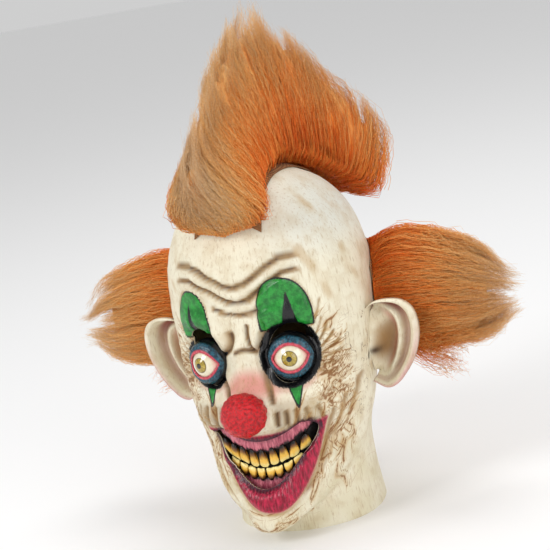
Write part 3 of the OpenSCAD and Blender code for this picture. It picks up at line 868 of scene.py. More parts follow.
# %% Skin material
def skin_material():
    """Cream latex with painted patches cut from stored distances, fine grain and scratches."""
    material, tree, shader = node_material("painted_latex")
    grain = noise(tree, 420, 6, 0.6)
    blotch = noise(tree, 70, 5, 0.6)
    streaks = noise(tree, 620, 5, 0.65, stretch=(1.0, 1.0, 0.14))
    lip_lines = noise(tree, 520, 4, 0.6, stretch=(1.0, 1.0, 0.2))
    hairs = noise(tree, 950, 4, 0.7, stretch=(1.0, 1.0, 0.25))
    # age: warm blotches and long brown streaks
    base = mix(tree, ramp(tree, blotch, 0.42, 0.68, 0.0, 0.30), attribute(tree, "paint", "Color"),
               rgb(190, 162, 112))
    base = mix(tree, ramp(tree, streaks, 0.52, 0.70, 0.0, 0.45), base, rgb(168, 132, 78))
    # scratches: where a stretched noise passes through its middle value
    level = noise(tree, 105, 3, 0.5, stretch=(1.0, 1.0, 0.55))
    thin = math(tree, "ABSOLUTE", math(tree, "SUBTRACT", level, 0.5))
    scratch = math(tree, "MULTIPLY", ramp(tree, thin, 0.012, 0.001), ramp(tree, blotch, 0.45, 0.58))
    scratch = math(tree, "MULTIPLY", scratch, attribute(tree, "scratch"))
    base = mix(tree, math(tree, "MULTIPLY", scratch, 0.85), base, rgb(116, 70, 28))
    # brush strokes: a pale halo and a dark line
    stroke = math(tree, "ABSOLUTE", ragged(tree, attribute(tree, "stroke"), grain, 0.9))
    base = mix(tree, ramp(tree, stroke, 1.7, 0.4, 0.0, 0.45), base, rgb(196, 152, 84))
    line = math(tree, "MULTIPLY", ramp(tree, stroke, 0.55, 0.2), ramp(tree, blotch, 0.35, 0.5, 0.25, 0.9))
    base = mix(tree, line, base, rgb(134, 84, 30))
    # green brows and tears with a black outline
    wobble = math(tree, "MULTIPLY", math(tree, "SUBTRACT", noise(tree, 900, 3, 0.6), 0.5), 1.1)
    green = math(tree, "ADD", attribute(tree, "green"), wobble)
    green_tone = mix(tree, ramp(tree, noise(tree, 140, 5, 0.7), 0.35, 0.7), rgb(14, 104, 34),
                     rgb(44, 158, 58))
    base = mix(tree, ramp(tree, green, 1.5, 0.9), base, rgb(18, 22, 16))
    base = mix(tree, ramp(tree, green, 0.2, -0.3), base, green_tone)
    # lips, darker at the rim of the mouth
    lips = math(tree, "ADD", attribute(tree, "lips"), math(tree, "MULTIPLY", wobble, 1.6))
    lip_tone = mix(tree, ramp(tree, lip_lines, 0.35, 0.7), rgb(120, 4, 34), rgb(200, 28, 70))
    base = mix(tree, ramp(tree, lips, 1.6, -0.6), base, rgb(186, 74, 88))
    base = mix(tree, ramp(tree, lips, 0.0, -1.6), base, lip_tone)
    rim_gap = ragged(tree, attribute(tree, "rim"), lip_lines, 5.0)
    base = mix(tree, ramp(tree, rim_gap, 4.2, 0.4), base, rgb(64, 6, 30))
    # black sockets with a hairy edge, and the slit in the brow
    socket = ragged(tree, attribute(tree, "socket"), hairs, 5.0)
    socket_tone = mix(tree, ramp(tree, hairs, 0.56, 0.8), rgb(10, 10, 12), rgb(70, 60, 58))
    base = mix(tree, ramp(tree, socket, 0.5, -0.6), base, socket_tone)
    black = math(tree, "ADD", attribute(tree, "black"), wobble)
    base = mix(tree, ramp(tree, black, 0.7, -0.1), base, rgb(14, 14, 18))
    # paint is glossier than bare latex
    painted = math(tree, "MAXIMUM", ramp(tree, socket, 0.5, -0.8), ramp(tree, lips, 0.5, -0.8))
    painted = math(tree, "MAXIMUM", ramp(tree, green, 1.0, 0.2), painted)
    gloss = ramp(tree, painted, 0.0, 1.0, 0.50, 0.22)
    coat(tree, shader, base, math(tree, "ADD", gloss, ramp(tree, grain, 0.3, 0.7, -0.05, 0.06)))
    first = bump(tree, shader, streaks, 0.0006, 0.45)
    second = bump(tree, shader, grain, 0.00025, 0.5, first)
    bump(tree, shader, scratch, 0.0005, 0.5, second)
    return material


LATEX = skin_material()
skin = make_piece("skin", skin_points, wall_faces(nr, nc, keep_skin, True, cap=True), LATEX,
                  values=skin_values, normals=skin_normals)
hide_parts("latex_skin")

# %% [markdown]
# ## The nape flaps
# The slit at the back lets the neck open wide enough for a head. Latex has no
# hinge: each flap bends over its first 12 mm. Each flap is the rest of the
# skin's grid, made as a piece of its own that rides on no body.

# %% Flap pieces cut from the skin's grid
for side, name in ((1, "left"), (-1, "right")):
    kept = np.hstack([in_flap & (np.sign(mid_c) == side), np.zeros((nr - 1, 1), bool)])
    flap = make_piece(f"{name}_flap_skin", skin_points, wall_faces(nr, nc, kept, True), LATEX, body=None,
                      values=skin_values, normals=skin_normals)
    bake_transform(flap)
    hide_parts(f"{name}_nape_flap")

# %% [markdown]
# ## Closed shapes
# A ball, a tooth or a bead is a stack of rings. When the last ring meets the
# first the shape is a loop; otherwise each end is closed by a small fan of
# triangles round its middle.

# %% Stacks of rings
def stack(rings, loop=False):
    """Points and faces of rings (n, k, 3): quads between rings, and a fan over each end unless it
    is a loop."""
    n, k, _ = rings.shape
    points = rings.reshape(-1, 3)
    if loop:
        return points, [grid_faces(n + 1, k, wrap=True) % (n * k)]
    c = np.arange(k)
    low = np.stack([(c + 1) % k, c, np.full(k, n * k)], 1)
    high = np.stack([(n - 1) * k + c, (n - 1) * k + (c + 1) % k, np.full(k, n * k + 1)], 1)
    ends = np.stack([rings[0].mean(0), rings[-1].mean(0)])
    return np.concatenate([points, ends]), [grid_faces(n, k, wrap=True), np.concatenate([low, high])]


def end_values(values):
    """Values of a stack's rings (n, k) or (n, k, w), with those of the two end points added."""
    flat = values.reshape(-1, *values.shape[2:])
    return np.concatenate([flat, values[0].mean(0)[None], values[-1].mean(0)[None]])


# %% [markdown]
# ## The ball nose
# A foam-backed latex ball, glued on a pad. Its skin has shrunk a little and is
# crinkled all over, with one soft dent on the left.

# %% Nose
def nose_shape():
    """A sphere whose radius changes with folded waves, |sin|, which give the crinkle."""
    polar = np.linspace(0.04, np.pi - 0.04, 72)[:, None]
    turn = np.linspace(0, 2 * np.pi, 120, endpoint=False)[None]
    way = np.stack([np.sin(polar) * np.cos(turn), -np.cos(polar) + 0 * turn,
                    np.sin(polar) * np.sin(turn)], -1)
    p = way * NOSE_R
    crinkle = np.abs(waves(p, 8, 41)) * 0.7 - np.abs(waves(p, 4, 42)) * 0.3
    dent = np.exp(-((p - [14, -10, -3]) ** 2).sum(-1) / 40.0)
    return NOSE + way * (NOSE_R - 0.2 + crinkle - 1.6 * dent)[..., None] * [1.03, 1, 0.98]


material, tree, shader = node_material("nose_latex")
wrinkle = noise(tree, 420, 6, 0.7)
shade = mix(tree, ramp(tree, wrinkle, 0.35, 0.65), rgb(150, 2, 12), rgb(226, 14, 30))
coat(tree, shader, shade, ramp(tree, wrinkle, 0.3, 0.7, 0.42, 0.24))
bump(tree, shader, wrinkle, 0.0011, 0.9)
nose = make_piece("nose", *stack(nose_shape()), material)
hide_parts("red_nose")

# %% [markdown]
# ## The eyes
# Each eye is a hard dome, printed with an iris and lacquered. A thick latex lid
# lies over it. The wearer doesn't look through the eye but through the dark gap
# above the lid.

# %% Where an eye sits
EYE_R = 16.5
EYE_PLACES = {"left": ((34.8, -46.6, 153.6), 16.0), "right": ((-40.4, -44.6, 152.6), -16.0)}


def from_socket(p, side):
    """Socket axes, z forwards and y up, to the mask: tip up 4 degrees, turn outwards, then move."""
    centre, turn = EYE_PLACES[side]
    tip, spin = np.radians(86.0), np.radians(turn)
    x, y, z = np.moveaxis(p, -1, 0)
    y, z = y * np.cos(tip) - z * np.sin(tip), y * np.sin(tip) + z * np.cos(tip)
    turned = np.stack([x * np.cos(spin) - y * np.sin(spin), x * np.sin(spin) + y * np.cos(spin), z], -1)
    return turned + centre


def lid_margin(turn, wide=14.8, high=10.9):
    """Radius r of the lid opening at an angle: (x/wide)^2 + |y/high|^1.3 = 1, found by halving."""
    low, top = np.zeros_like(turn), np.full_like(turn, 20.0)
    for _ in range(30):
        r = (low + top) / 2
        inside = (r * np.cos(turn) / wide) ** 2 + np.abs(r * np.sin(turn) / high) ** 1.3 < 1
        low, top = np.where(inside, r, low), np.where(inside, top, r)
    return r


eye_turn = np.linspace(0, 2 * np.pi, 144, endpoint=False)
print("lid opening", lid_margin(eye_turn).max().round(1), "by", lid_margin(eye_turn)[36].round(1), "mm")

# %% Domes
polar = np.concatenate([np.linspace(0.02, 0.5, 30), np.linspace(0.52, 1.57, 34)])[:, None]
bulge = EYE_R + 0.9 * smooth(0.48, 0.1, polar)
dome = np.stack([bulge * np.sin(polar) * np.cos(eye_turn), bulge * np.sin(polar) * np.sin(eye_turn),
                 bulge * np.cos(polar) + 0 * eye_turn], -1)
inside_dome = dome[::-1] * ((EYE_R - 1.4) / EYE_R)
shell = np.concatenate([dome, inside_dome])

material, tree, shader = node_material("printed_eye")
local = attribute(tree, "eye", "Vector")
split = tree.nodes.new("ShaderNodeSeparateXYZ")
tree.links.new(local, split.inputs[0])
far = split.outputs[0]
fibre = noise(tree, 1.0, 5, 0.6, vector=local, stretch=(0.25, 2.6, 2.6))
white = mix(tree, ramp(tree, noise(tree, 300, 4), 0.3, 0.7), rgb(230, 222, 190), rgb(242, 236, 212))
veins = ramp(tree, noise(tree, 1.0, 6, 0.7, vector=local, stretch=(0.35, 3.5, 3.5)), 0.55, 0.68)
white = mix(tree, math(tree, "MULTIPLY", veins, ramp(tree, far, 8.0, 14.0)), white, rgb(206, 96, 92))
white = mix(tree, ramp(tree, far, 9.5, 14.5, 0.0, 0.75), white, rgb(214, 92, 92))
iris = mix(tree, ramp(tree, fibre, 0.3, 0.7), rgb(120, 96, 14), rgb(206, 180, 70))
iris = mix(tree, ramp(tree, far, 5.2, 6.6), iris, rgb(92, 74, 16))
shade = mix(tree, ramp(tree, far, 6.3, 6.8), iris, white)
shade = mix(tree, ramp(tree, far, 2.5, 2.1), shade, rgb(8, 10, 8))
coat(tree, shader, shade, ramp(tree, noise(tree, 500, 3), 0.3, 0.7, 0.1, 0.2))
shader.inputs["Coat Weight"].default_value = 0.8
shader.inputs["Coat Roughness"].default_value = 0.04
bump(tree, shader, noise(tree, 160, 4), 0.0001, 0.3)
EYE = material

radius = np.linalg.norm(shell[..., :2], axis=-1)
spokes = np.concatenate([radius[..., None], 4 * shell[..., :2] / np.maximum(radius, 0.1)[..., None]], -1)
for side in EYE_PLACES:
    eye = make_piece(f"{side}_eye", *stack(from_socket(shell, side)), EYE, values={"eye": end_values(spokes)})
    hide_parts(f"{side}_eyeball")

# %% Lids
# the roll's section: angle beyond the margin, radius, share of the way across
LID_SECTION = np.array([
    [0.16, 16.75, 0], [0.05, 16.75, 0], [-0.01, 17.1, 0.02], [-0.02, 17.6, 0.1], [0.0, 18.1, 0.17],
    [0.05, 18.5, 0.23], [0.09, 18.6, 0.26], [0.12, 18.5, 0.29], [0.17, 19.5, 0.34], [0.27, 20.1, 0.45],
    [0.36, 20.2, 0.55], [0.44, 20.0, 0.63], [0.5, 19.5, 0.7], [0.56, 19.9, 0.76], [0.68, 20.0, 0.86],
    [0.85, 19.6, 0.95]])
# radii of the roll's outer edge and of its underside
LID_EDGE = [19.2, 16.8]


def lid_shape():
    """A closed roll round the eye: the section swept round the opening, out to one last angle."""
    margin = np.arcsin(np.clip(lid_margin(eye_turn) / 17.6, 0, 0.985))
    last = np.full(eye_turn.size, 1.62)
    room = np.clip((last - margin) / 0.9, 0.25, 1.6)
    angle = np.vstack([margin + LID_SECTION[:, :1] * room, last, last])
    radius = np.concatenate([LID_SECTION[:, 1], LID_EDGE])[:, None]
    wobble = 0.12 * np.sin(eye_turn * 9 + LID_SECTION[:, 2].sum()) * smooth(17.5, 19.5, radius)
    # the upper lid is a little heavier
    heavy = 0.5 * np.clip(np.sin(eye_turn), 0, 1) * smooth(17.2, 19, radius)
    r = radius + wobble + heavy
    p = np.stack([r * np.sin(angle) * np.cos(eye_turn), r * np.sin(angle) * np.sin(eye_turn),
                  r * np.cos(angle)], -1)
    across = np.concatenate([LID_SECTION[:, 2], [1.0, 1.0]])[:, None] + 0 * eye_turn
    return p, across


material, tree, shader = node_material("painted_lid")
strokes = noise(tree, 620, 5, 0.65, stretch=(1.0, 1.0, 0.6))
blend_in = ragged(tree, attribute(tree, "across"), strokes, 0.12)
teal = mix(tree, ramp(tree, strokes, 0.36, 0.66), rgb(6, 34, 50), rgb(40, 98, 118))
shade = mix(tree, ramp(tree, strokes, 0.3, 0.7), rgb(168, 34, 58), rgb(224, 92, 104))
shade = mix(tree, ramp(tree, blend_in, 0.22, 0.29), shade, teal)
shade = mix(tree, ramp(tree, blend_in, 0.48, 0.66), shade, rgb(8, 11, 15))
coat(tree, shader, shade, ramp(tree, strokes, 0.3, 0.7, 0.26, 0.12))
bump(tree, shader, strokes, 0.0006, 0.6)
LID = material

lid_points, lid_across = lid_shape()
for side in EYE_PLACES:
    lid = make_piece(f"{side}_lid", *stack(from_socket(lid_points, side), loop=True), LID,
                     values={"across": lid_across.ravel()})
    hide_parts(f"{side}_eyelids")

# %% [markdown]
# ## Glue behind the lids
# The eye sets are stuck in from behind with a thick bead of black rubber glue.
# The bead is open above, so the wearer can look out there.

# %% Glue beads
material, tree, shader = node_material("black_glue")
lumps = noise(tree, 300, 4, 0.6)
shade = mix(tree, ramp(tree, lumps, 0.4, 0.7), rgb(9, 9, 11), rgb(34, 34, 38))
coat(tree, shader, shade, ramp(tree, lumps, 0.3, 0.7, 0.3, 0.16))
bump(tree, shader, lumps, 0.001, 0.5)
GLUE = material
BEAD_R = 21.0
for side in EYE_PLACES:
    along = np.radians(np.linspace(140, 400, 90))[:, None]
    round_it = np.linspace(0, 2 * np.pi, 14, endpoint=False)[None]
    ends = 0.25 + 0.75 * smooth(2.44, 2.75, along) * smooth(6.98, 6.7, along)
    thick = (2.1 + 0.3 * np.sin(along * 7) + 0.2 * np.sin(along * 17)) * ends
    reach = BEAD_R + thick * np.cos(round_it)
    bead = np.stack([reach * np.cos(along), reach * np.sin(along), thick * np.sin(round_it)], -1)
    glue = make_piece(f"{side}_glue", *stack(from_socket(bead, side)), GLUE)
    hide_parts(f"{side}_eye_glue_ring")

# %% [markdown]
# ## The ears
# An ear is one open-backed latex casting with a rolled rim. Its folds are
# heights above a bowl-shaped sheet: a rim, the groove behind it, the inner fold,
# and the deep shell in front of the hearing hole.

# %% Ears
# outline of the ear from its upper root to the lobe, as shares of reach and half height
EAR_RIM = np.array([[0.05, 0.84], [0.24, 0.97], [0.5, 1.0], [0.76, 0.94], [0.94, 0.76], [1.01, 0.48],
                    [1.0, 0.18], [0.92, -0.14], [0.79, -0.44], [0.62, -0.7], [0.42, -0.92], [0.2, -0.98],
                    [-0.04, -0.8]])
EAR_REACH, EAR_HALF, EAR_Z, EAR_T = 43, 38, 143, 2.4


def curve(table, s):
    """Catmull-Rom through the rows of a table at the positions s."""
    padded = np.vstack([2 * table[0] - table[1], table, 2 * table[-1] - table[-2]])
    i = np.clip(np.floor(s).astype(int), 0, len(table) - 2)
    t = (s - i)[..., None]
    a, b, c, d = padded[i], padded[i + 1], padded[i + 2], padded[i + 3]
    return 0.5 * (2 * b + (c - a) * t + (2 * a - 5 * b + 4 * c - d) * t**2 + (3 * b - a - 3 * c + d) * t**3)


def ear_shape():
    """Front and back sheets of an ear, and its paint. a runs from the top to the lobe, w from the
    root to the rim."""
    a = np.linspace(0, 1, 110)[:, None]
    w = np.concatenate([np.linspace(0, 0.6, 34), np.linspace(0.615, 1, 40)])[None]
    outline = curve(EAR_RIM, a[:, 0] * (len(EAR_RIM) - 1))
    s = 1 - 2 * a
    root = np.concatenate([83.9 + 3.2 * s, -1 + 8 * s * s, 144 + 26 * s], 1)[:, None]
    edge = np.stack([85 + outline[:, 0] * EAR_REACH, 7 * outline[:, 0], EAR_Z + outline[:, 1] * EAR_HALF],
                    -1)[:, None]
    sheet = root * (1 - w[..., None]) + edge * w[..., None]
    bowl = 10 * np.sin(np.pi * np.minimum(w * 1.2, 1)) - 5 * w**6
    middle = smooth(0.1, 0.3, a) * smooth(0.92, 0.72, a)
    lobe = smooth(0.74, 0.9, a)
    up = (4.6 * np.exp(-((w - 0.92) / 0.085) ** 2) * (1 - 0.6 * lobe) * smooth(0.0, 0.12, a)
          - 4.6 * np.exp(-((w - 0.72) / 0.085) ** 2) * (1 - lobe)
          + 4.4 * np.exp(-((w - 0.55) / 0.075) ** 2) * middle
          - 8.0 * np.exp(-((w - 0.27) / 0.19) ** 4 - ((a - 0.56) / 0.22) ** 4)
          + 2.5 * np.exp(-((w - 0.36) / 0.12) ** 2 - ((a - 0.24) / 0.08) ** 2)
          + 5.0 * np.exp(-((w - 0.1) / 0.1) ** 2 - ((a - 0.56) / 0.1) ** 2)
          + 2.4 * np.exp(-((w - 0.5) / 0.3) ** 2 - ((a - 0.92) / 0.1) ** 2))
    front = sheet.copy()
    front[..., 1] += bowl - up
    front += 0.15 * waves(front, 8, 51)[..., None] * [0, 1, 0]
    back = sheet.copy()
    back[..., 1] += bowl + EAR_T - np.minimum(up, 0)
    back[:, -1] += [0, 0.6, 0]
    behind_rim = np.exp(-((w - 0.71) / 0.09) ** 4) * (1 - 0.4 * lobe) * (0.6 + 0.4 * smooth(0.5, 0.2, a))
    tone = lay(np.ones(up.shape + (3,)) * rgb(*CREAM)[:3], (150, 72, 58), 0.95 * behind_rim)
    tone = lay(tone, (158, 116, 60), 0.9 * np.exp(-((w - 0.26) / 0.2) ** 4 - ((a - 0.56) / 0.24) ** 4))
    tone = lay(tone, (48, 22, 14), 0.95 * np.exp(-((w - 0.08) / 0.09) ** 2 - ((a - 0.64) / 0.07) ** 2))
    tone = lay(tone, (186, 98, 112), 0.7 * smooth(0.84, 1.0, w) * smooth(0.3, 0.75, a))
    tone = lay(tone, (196, 116, 104), 0.6 * np.exp(-((w - 0.43) / 0.07) ** 2) * middle)
    return front, back, tone


front, back, tone = ear_shape()
na, nw = tone.shape[:2]
ear_faces = wall_faces(na, nw, np.ones((na - 1, nw - 1), bool), False)
ear_points = np.concatenate([front.reshape(-1, 3), back.reshape(-1, 3)])
ear_paint = np.concatenate([tone.reshape(-1, 3), np.tile(rgb(228, 218, 190)[:3], (na * nw, 1))])
# the ears share the skin's material, far from all its painted outlines
outlined = ("green", "black", "socket", "lips", "stroke", "rim")
ear_values = {key: np.full(len(ear_points), FAR) for key in outlined}
ear_values["scratch"] = np.zeros(len(ear_points))
ear_values["paint"] = np.concatenate([ear_paint, np.ones((len(ear_paint), 1))], 1)
for side, sign in (("left", 1), ("right", -1)):
    ear = make_piece(f"{side}_ear_cast", ear_points * [sign, 1, 1], ear_faces, LATEX, values=ear_values)
    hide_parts(f"{side}_ear")

# %% [markdown]
# ## Gums and teeth
# The mouth is a separate insert glued behind the lips. Its gums are cast with
# fine upright wrinkles and a scallop over each tooth. Each tooth is a small
# tapered block, yellow at the bite and stained brown towards the root.

# %% The arch
# the bite's front in y, how fast it curves back, its height, and how fast it curves up
BITE_Y, BITE_BACK, BITE_Z, BITE_SMILE = -70, 0.0078, 65, 0.0085


def arch(x, up, behind):
    """A point of the bite at x: y follows one parabola, the height of the bite another."""
    turn = np.arctan(2 * BITE_BACK * x)
    return np.stack([x - behind * np.sin(turn), BITE_Y + BITE_BACK * x**2 + behind * np.cos(turn),
                     BITE_Z + BITE_SMILE * x**2 + up], -1)


def gum(half, low, high, count, side):
    """A loop of cross-sections along the arch: front bulge with ribs, and a flat back."""
    x = np.linspace(-half, half, 260)[:, None]
    k = np.linspace(0, 1, 22)[None]
    pitch = 2 * half / count
    scallop = 1.6 * np.abs(np.cos(np.pi * x / pitch)) * (1 - k if side > 0 else k)
    ribs = 0.28 * np.sin(x * 2.6 + 1.2 * np.sin(x * 0.7)) + 0.16 * np.sin(x * 5.1 + 3 * k)
    front = 2 - 2.0 * np.sin(np.pi * np.clip(k * 0.9 + 0.08, 0, 1)) - ribs * np.sin(np.pi * k)
    up = low + (high - low) * k + scallop * side
    front_side = arch(x + 0 * k, up, front)
    back_side = arch(x + 0 * k, up, 6.0 + 0 * k + 0 * x)[:, ::-1]
    root = (k if side > 0 else 1 - k) + 0 * x
    return np.concatenate([front_side, back_side], 1), np.concatenate([root, root[:, ::-1]], 1)


material, tree, shader = node_material("gum_latex_paint")
ribbing = noise(tree, 480, 5, 0.65, stretch=(1.0, 1.0, 0.2))
shade = mix(tree, ramp(tree, ribbing, 0.32, 0.7), rgb(150, 50, 76), rgb(228, 134, 146))
edge = ragged(tree, attribute(tree, "root"), ribbing, 0.5)
shade = mix(tree, ramp(tree, edge, 0.3, 0.06), shade, rgb(16, 6, 10))
coat(tree, shader, shade, ramp(tree, ribbing, 0.3, 0.7, 0.36, 0.2))
bump(tree, shader, ribbing, 0.0008, 0.7)
GUM = material
for name, shape in (("upper", gum(50, 12.0, 28, 9, 1)), ("lower", gum(44, -22, -8.0, 8, -1))):
    piece = make_piece(f"{name}_gum_cast", *stack(shape[0]), GUM, values={"root": end_values(shape[1])})
    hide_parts(f"{name}_gum")


# %% Teeth
# a tooth's section from bite to root: share of the height, and shares of width and depth
TOOTH_SECTION = np.array([[0, 0.3, 0.6], [0.06, 0.46, 0.8], [0.2, 0.6, 0.95], [0.45, 0.78, 1.0],
                          [0.7, 0.94, 0.95], [0.86, 1.0, 0.75], [0.95, 0.97, 0.5], [1.0, 0.85, 0.3]])


def teeth(count, half, tall, low, side, seed):
    """Every tooth of a row at once: squared ovals from root to bite, each a little different."""
    local = np.random.default_rng(seed)
    pitch = 2 * half / count
    x = -half + pitch * (np.arange(count) + 0.5)
    h = tall + (low - tall) * np.abs(x / half) ** 2
    share = np.linspace(0, len(TOOTH_SECTION) - 1, 22)
    profile = curve(TOOTH_SECTION, share)[None, :, None]
    turn = np.linspace(0, 2 * np.pi, 28, endpoint=False)[None, None]
    squared = lambda q: np.sign(q) * np.abs(q) ** 0.72
    shift = local.normal(0, 0.35, (count, 1, 1))
    lean = local.normal(0, 0.05, (count, 1, 1))
    wide = (pitch * 0.42 / np.cos(np.arctan(2 * BITE_BACK * x)))[:, None, None]
    wide = wide * (1 + local.normal(0, 0.04, (count, 1, 1)))
    ragged = 0.5 * np.sin(turn * 2 + local.uniform(0, 6, (count, 1, 1))) * smooth(0.85, 1, profile[..., 0])
    across = wide * profile[..., 1] * squared(np.cos(turn)) + lean * profile[..., 0] * 10
    depth = 2.5 * profile[..., 2] * squared(np.sin(turn))
    height = (h[:, None, None] - 0.6) * (1 - profile[..., 0]) + 1.4 + shift + ragged
    p = arch(x[:, None, None] + across, side * height, 5 / 3 + depth - 0.6)
    return p, profile[..., 0] + 0 * turn + 0 * shift


material, tree, shader = node_material("stained_tooth")
share = attribute(tree, "share")
stain = noise(tree, 520, 6, 0.7, stretch=(1.0, 1.0, 0.3))
level = ragged(tree, share, stain, 0.55)
shade = mix(tree, ramp(tree, level, 0.1, 0.36), rgb(16, 10, 6), rgb(126, 78, 22))
shade = mix(tree, ramp(tree, level, 0.3, 0.62), shade, rgb(240, 190, 74))
shade = mix(tree, ramp(tree, level, 0.62, 1.05), shade, rgb(255, 238, 160))
coat(tree, shader, shade, ramp(tree, stain, 0.3, 0.7, 0.38, 0.22))
bump(tree, shader, stain, 0.0006, 0.5)
TOOTH = material
for name, row in (("upper", teeth(9, 41, 15.4, 10.5, 1, 61)), ("lower", teeth(8, 33, 11, 8.5, -1, 62))):
    points, faces, stains, start = [], [[], []], [], 0
    for rings, stain_share in zip(*row):
        p, f = stack(rings)
        points.append(p)
        faces[0].append(f[0] + start)
        faces[1].append(f[1] + start)
        stains.append(end_values(stain_share))
        start += len(p)
    piece = make_piece(f"{name}_teeth_cast", np.concatenate(points), [np.concatenate(f) for f in faces],
                       TOOTH, values={"share": np.concatenate(stains)})
    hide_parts(f"{name}_teeth")

# %% [markdown]
# ## How the hair lies
# The hair is teased fibre, sewn to cloth and glued on. Two numbers say where a
# fibre is rooted, and a third runs from root to tip. The crest is a fan of
# fibres along the crown; the ones at the forehead sweep upwards.

# %% The crest's shape
# turn and row of the root, y and z of the tip, half width at root and tip
CREST_RINGS = np.array([
    [0, 14.35, -60, 262, 0.3, 0.2], [0, 14.55, -74, 276, 0.9, 0.6], [0, 14.85, -83, 296, 1.12, 0.75],
    [0, 15.25, -80, 320, 1.16, 0.75], [0, 15.7, -58, 350, 1.12, 0.6], [0, 16.3, -26, 380, 1.06, 0.5],
    [180, 16.85, 12, 405, 1.04, 0.55], [180, 16.3, 48, 420, 1.06, 0.65], [180, 15.7, 86, 414, 1.1, 0.8],
    [180, 15.1, 116, 390, 1.2, 0.95], [180, 14.5, 138, 356, 1.35, 1.3], [180, 13.9, 150, 320, 1.4, 1.45],
    [180, 13.3, 150, 286, 1.2, 1.2], [180, 12.8, 132, 258, 0.6, 0.5]], float)
CREST_HALF, CREST_LIFT, LAST_RING = 36.0, 2.4, len(CREST_RINGS) - 1
ring_turn, ring_row = CREST_RINGS[:, 0], CREST_RINGS[:, 1]
crest_roots = skull(ring_turn, ring_row) + CREST_LIFT * skull_normal(ring_turn, ring_row)
CREST = np.column_stack([crest_roots[:, 1:], CREST_RINGS[:, 2:]])


def sweep_up(s):
    """How many rings towards the top a fibre rooted at ring s leans at its tip."""
    return 2.8 * np.exp(-(s / 3.6) ** 2)


def crest_point(s, u, t):
    """Root plus t times the way to the tip; x is u times a half width that swells and closes again."""
    # the front end is round, and the back flares
    u = u * np.sqrt(np.clip(1 - np.clip(1 - s / 3.0, 0, 1) ** 2, 0.02, 1)) * (1 + 0.75 * smooth(7.5, 12.5, s))
    at = np.clip(s + sweep_up(s) * t**2, 0, LAST_RING)
    y0, z0, y1, z1, root, tip = np.moveaxis(curve(CREST, at), -1, 0)
    ys, zs = np.moveaxis(curve(CREST, np.clip(s, 0, LAST_RING)), -1, 0)[:2]
    hold = (1 - np.clip(t, 0, 1)) ** 2
    y0, z0 = y0 + (ys - y0) * hold, z0 + (zs - z0) * hold
    swell = np.sqrt(np.clip(1 - (2 * np.clip(t, 0, 1) - 1) ** 2, 0, 1)) ** 0.7
    width = np.where(t < 0.5, 0.72 + 0.28 * swell, np.maximum(swell, 0.34))
    x = CREST_HALF * u * width * np.maximum(root * (1 - t) + (2 * tip - root) * t, 0.25)
    x = x * (1 + 0.4 * np.exp(-((at - 2.5) / 2.0) ** 2) * np.sin(np.pi * np.clip(t, 0, 1)))
    # the roots follow the round of the skull; a lobe leans forwards at the front and one stands up behind
    drop = np.minimum(x**2 / 190, 30) * (1 - np.clip(t, 0, 1)) ** 1.5
    y1 = y1 - 15 * np.exp(-((at - 2.7) / 1.8) ** 2) * t
    z1 = z1 + 14 * np.exp(-((at - 9.4) / 1.7) ** 2) * t
    return np.stack([x, y0 + (y1 - y0) * t, z0 - drop + (z1 - z0) * t], -1)


# %% The tufts' shape
# share of the length, half height, half depth, drop
TUFT = np.array([[0, 46, 14, 8], [0.06, 56, 19, 12], [0.25, 55, 24, 10], [0.5, 50, 25, 9],
                 [0.72, 46, 22, 12], [0.88, 38, 15, 14], [1, 20, 6, 16]], float)
TUFT_LEN = 120
TUFT_DIR = unit(np.array([1.0, -0.1, 0.0]))
TUFT_SIDE = unit(np.cross([0, 0, 1], TUFT_DIR))
tuft_root = skull(np.array(116.0), np.array(9.6)) + 2.7 * skull_normal(np.array(116.0), np.array(9.6))


def tuft_point(around, r, t):
    """From the cloth patch on the skull into an oval body along one direction."""
    share = np.clip(t, 0, 1)
    half_z, half_y, drop = (np.interp(share, TUFT[:, 0], TUFT[:, k]) for k in (1, 2, 3))
    c, s = np.cos(around), np.sin(around)
    body = (tuft_root + TUFT_DIR * (t * TUFT_LEN)[..., None] + TUFT_SIDE * (half_y * r * c)[..., None]
            + np.array([0, 0, 1.0]) * (half_z * r * s - drop)[..., None])
    r_root = np.clip(1.3 * r, 0, 1.1)
    turn, row = 119 + 15.5 * r_root * c, 9.7 + 1.6 * r_root * s
    patch = skull(turn, row) + 1.5 * skull_normal(turn, row)
    gone = smooth(0.0, 0.3, t)[..., None]
    return patch * (1 - gone) + body * gone


print("tuft root", tuft_root.round(1))

# %% [markdown]
# ## Colour of the fibres
# The fibre is orange. Towards the roots, in the middle of the bunch, it is
# painted deep orange as painted shade. On the outside it is painted golden as
# painted light, and the broken tips are pale brown.

# %% Hair material
# deep orange for the painted shade inside the bunch, orange, gold for the painted light on the outside, and
# the pale brown of the broken tips
HAIR_TONES = [(255, 112, 22), (255, 158, 66), (252, 200, 124), (232, 200, 158)]


def fibre_tint_and_shade(t, tone):
    """Deep orange to gold to pale brown, along a fibre and by its own tone: painted shade near the root,
    painted light further out.
    """
    q = np.clip(0.75 * t + 0.75 * tone - 0.1, 0, 1)[..., None]
    return sum(np.array(rgb(*tint)[:3]) * np.clip(1 - np.abs(3 * q - k), 0, 1)
               for k, tint in enumerate(HAIR_TONES))


def with_alpha(c):
    """Adds an alpha of 1 to an array of colours."""
    return np.concatenate([c, np.ones(c.shape[:-1] + (1,))], -1)


material, tree, shader = node_material("teased_fibre")
grain = attribute(tree, "grain", "Vector")
streak = noise(tree, 0.9, 6, 0.7, vector=grain)
broad = noise(tree, 0.16, 3, 0.5, vector=grain)
tint = attribute(tree, "tint", "Color")
dark = mix(tree, 1.0, tint, rgb(232, 204, 184), "MULTIPLY")
shade = mix(tree, ramp(tree, streak, 0.62, 0.38), tint, dark)
shade = mix(tree, ramp(tree, broad, 0.45, 0.7, 0.0, 0.35), shade, rgb(255, 196, 112))
coat(tree, shader, shade, ramp(tree, streak, 0.3, 0.7, 0.7, 0.5))
shader.inputs["Specular IOR Level"].default_value = 0.25
bump(tree, shader, streak, 0.0010, 0.45)
CORE = material

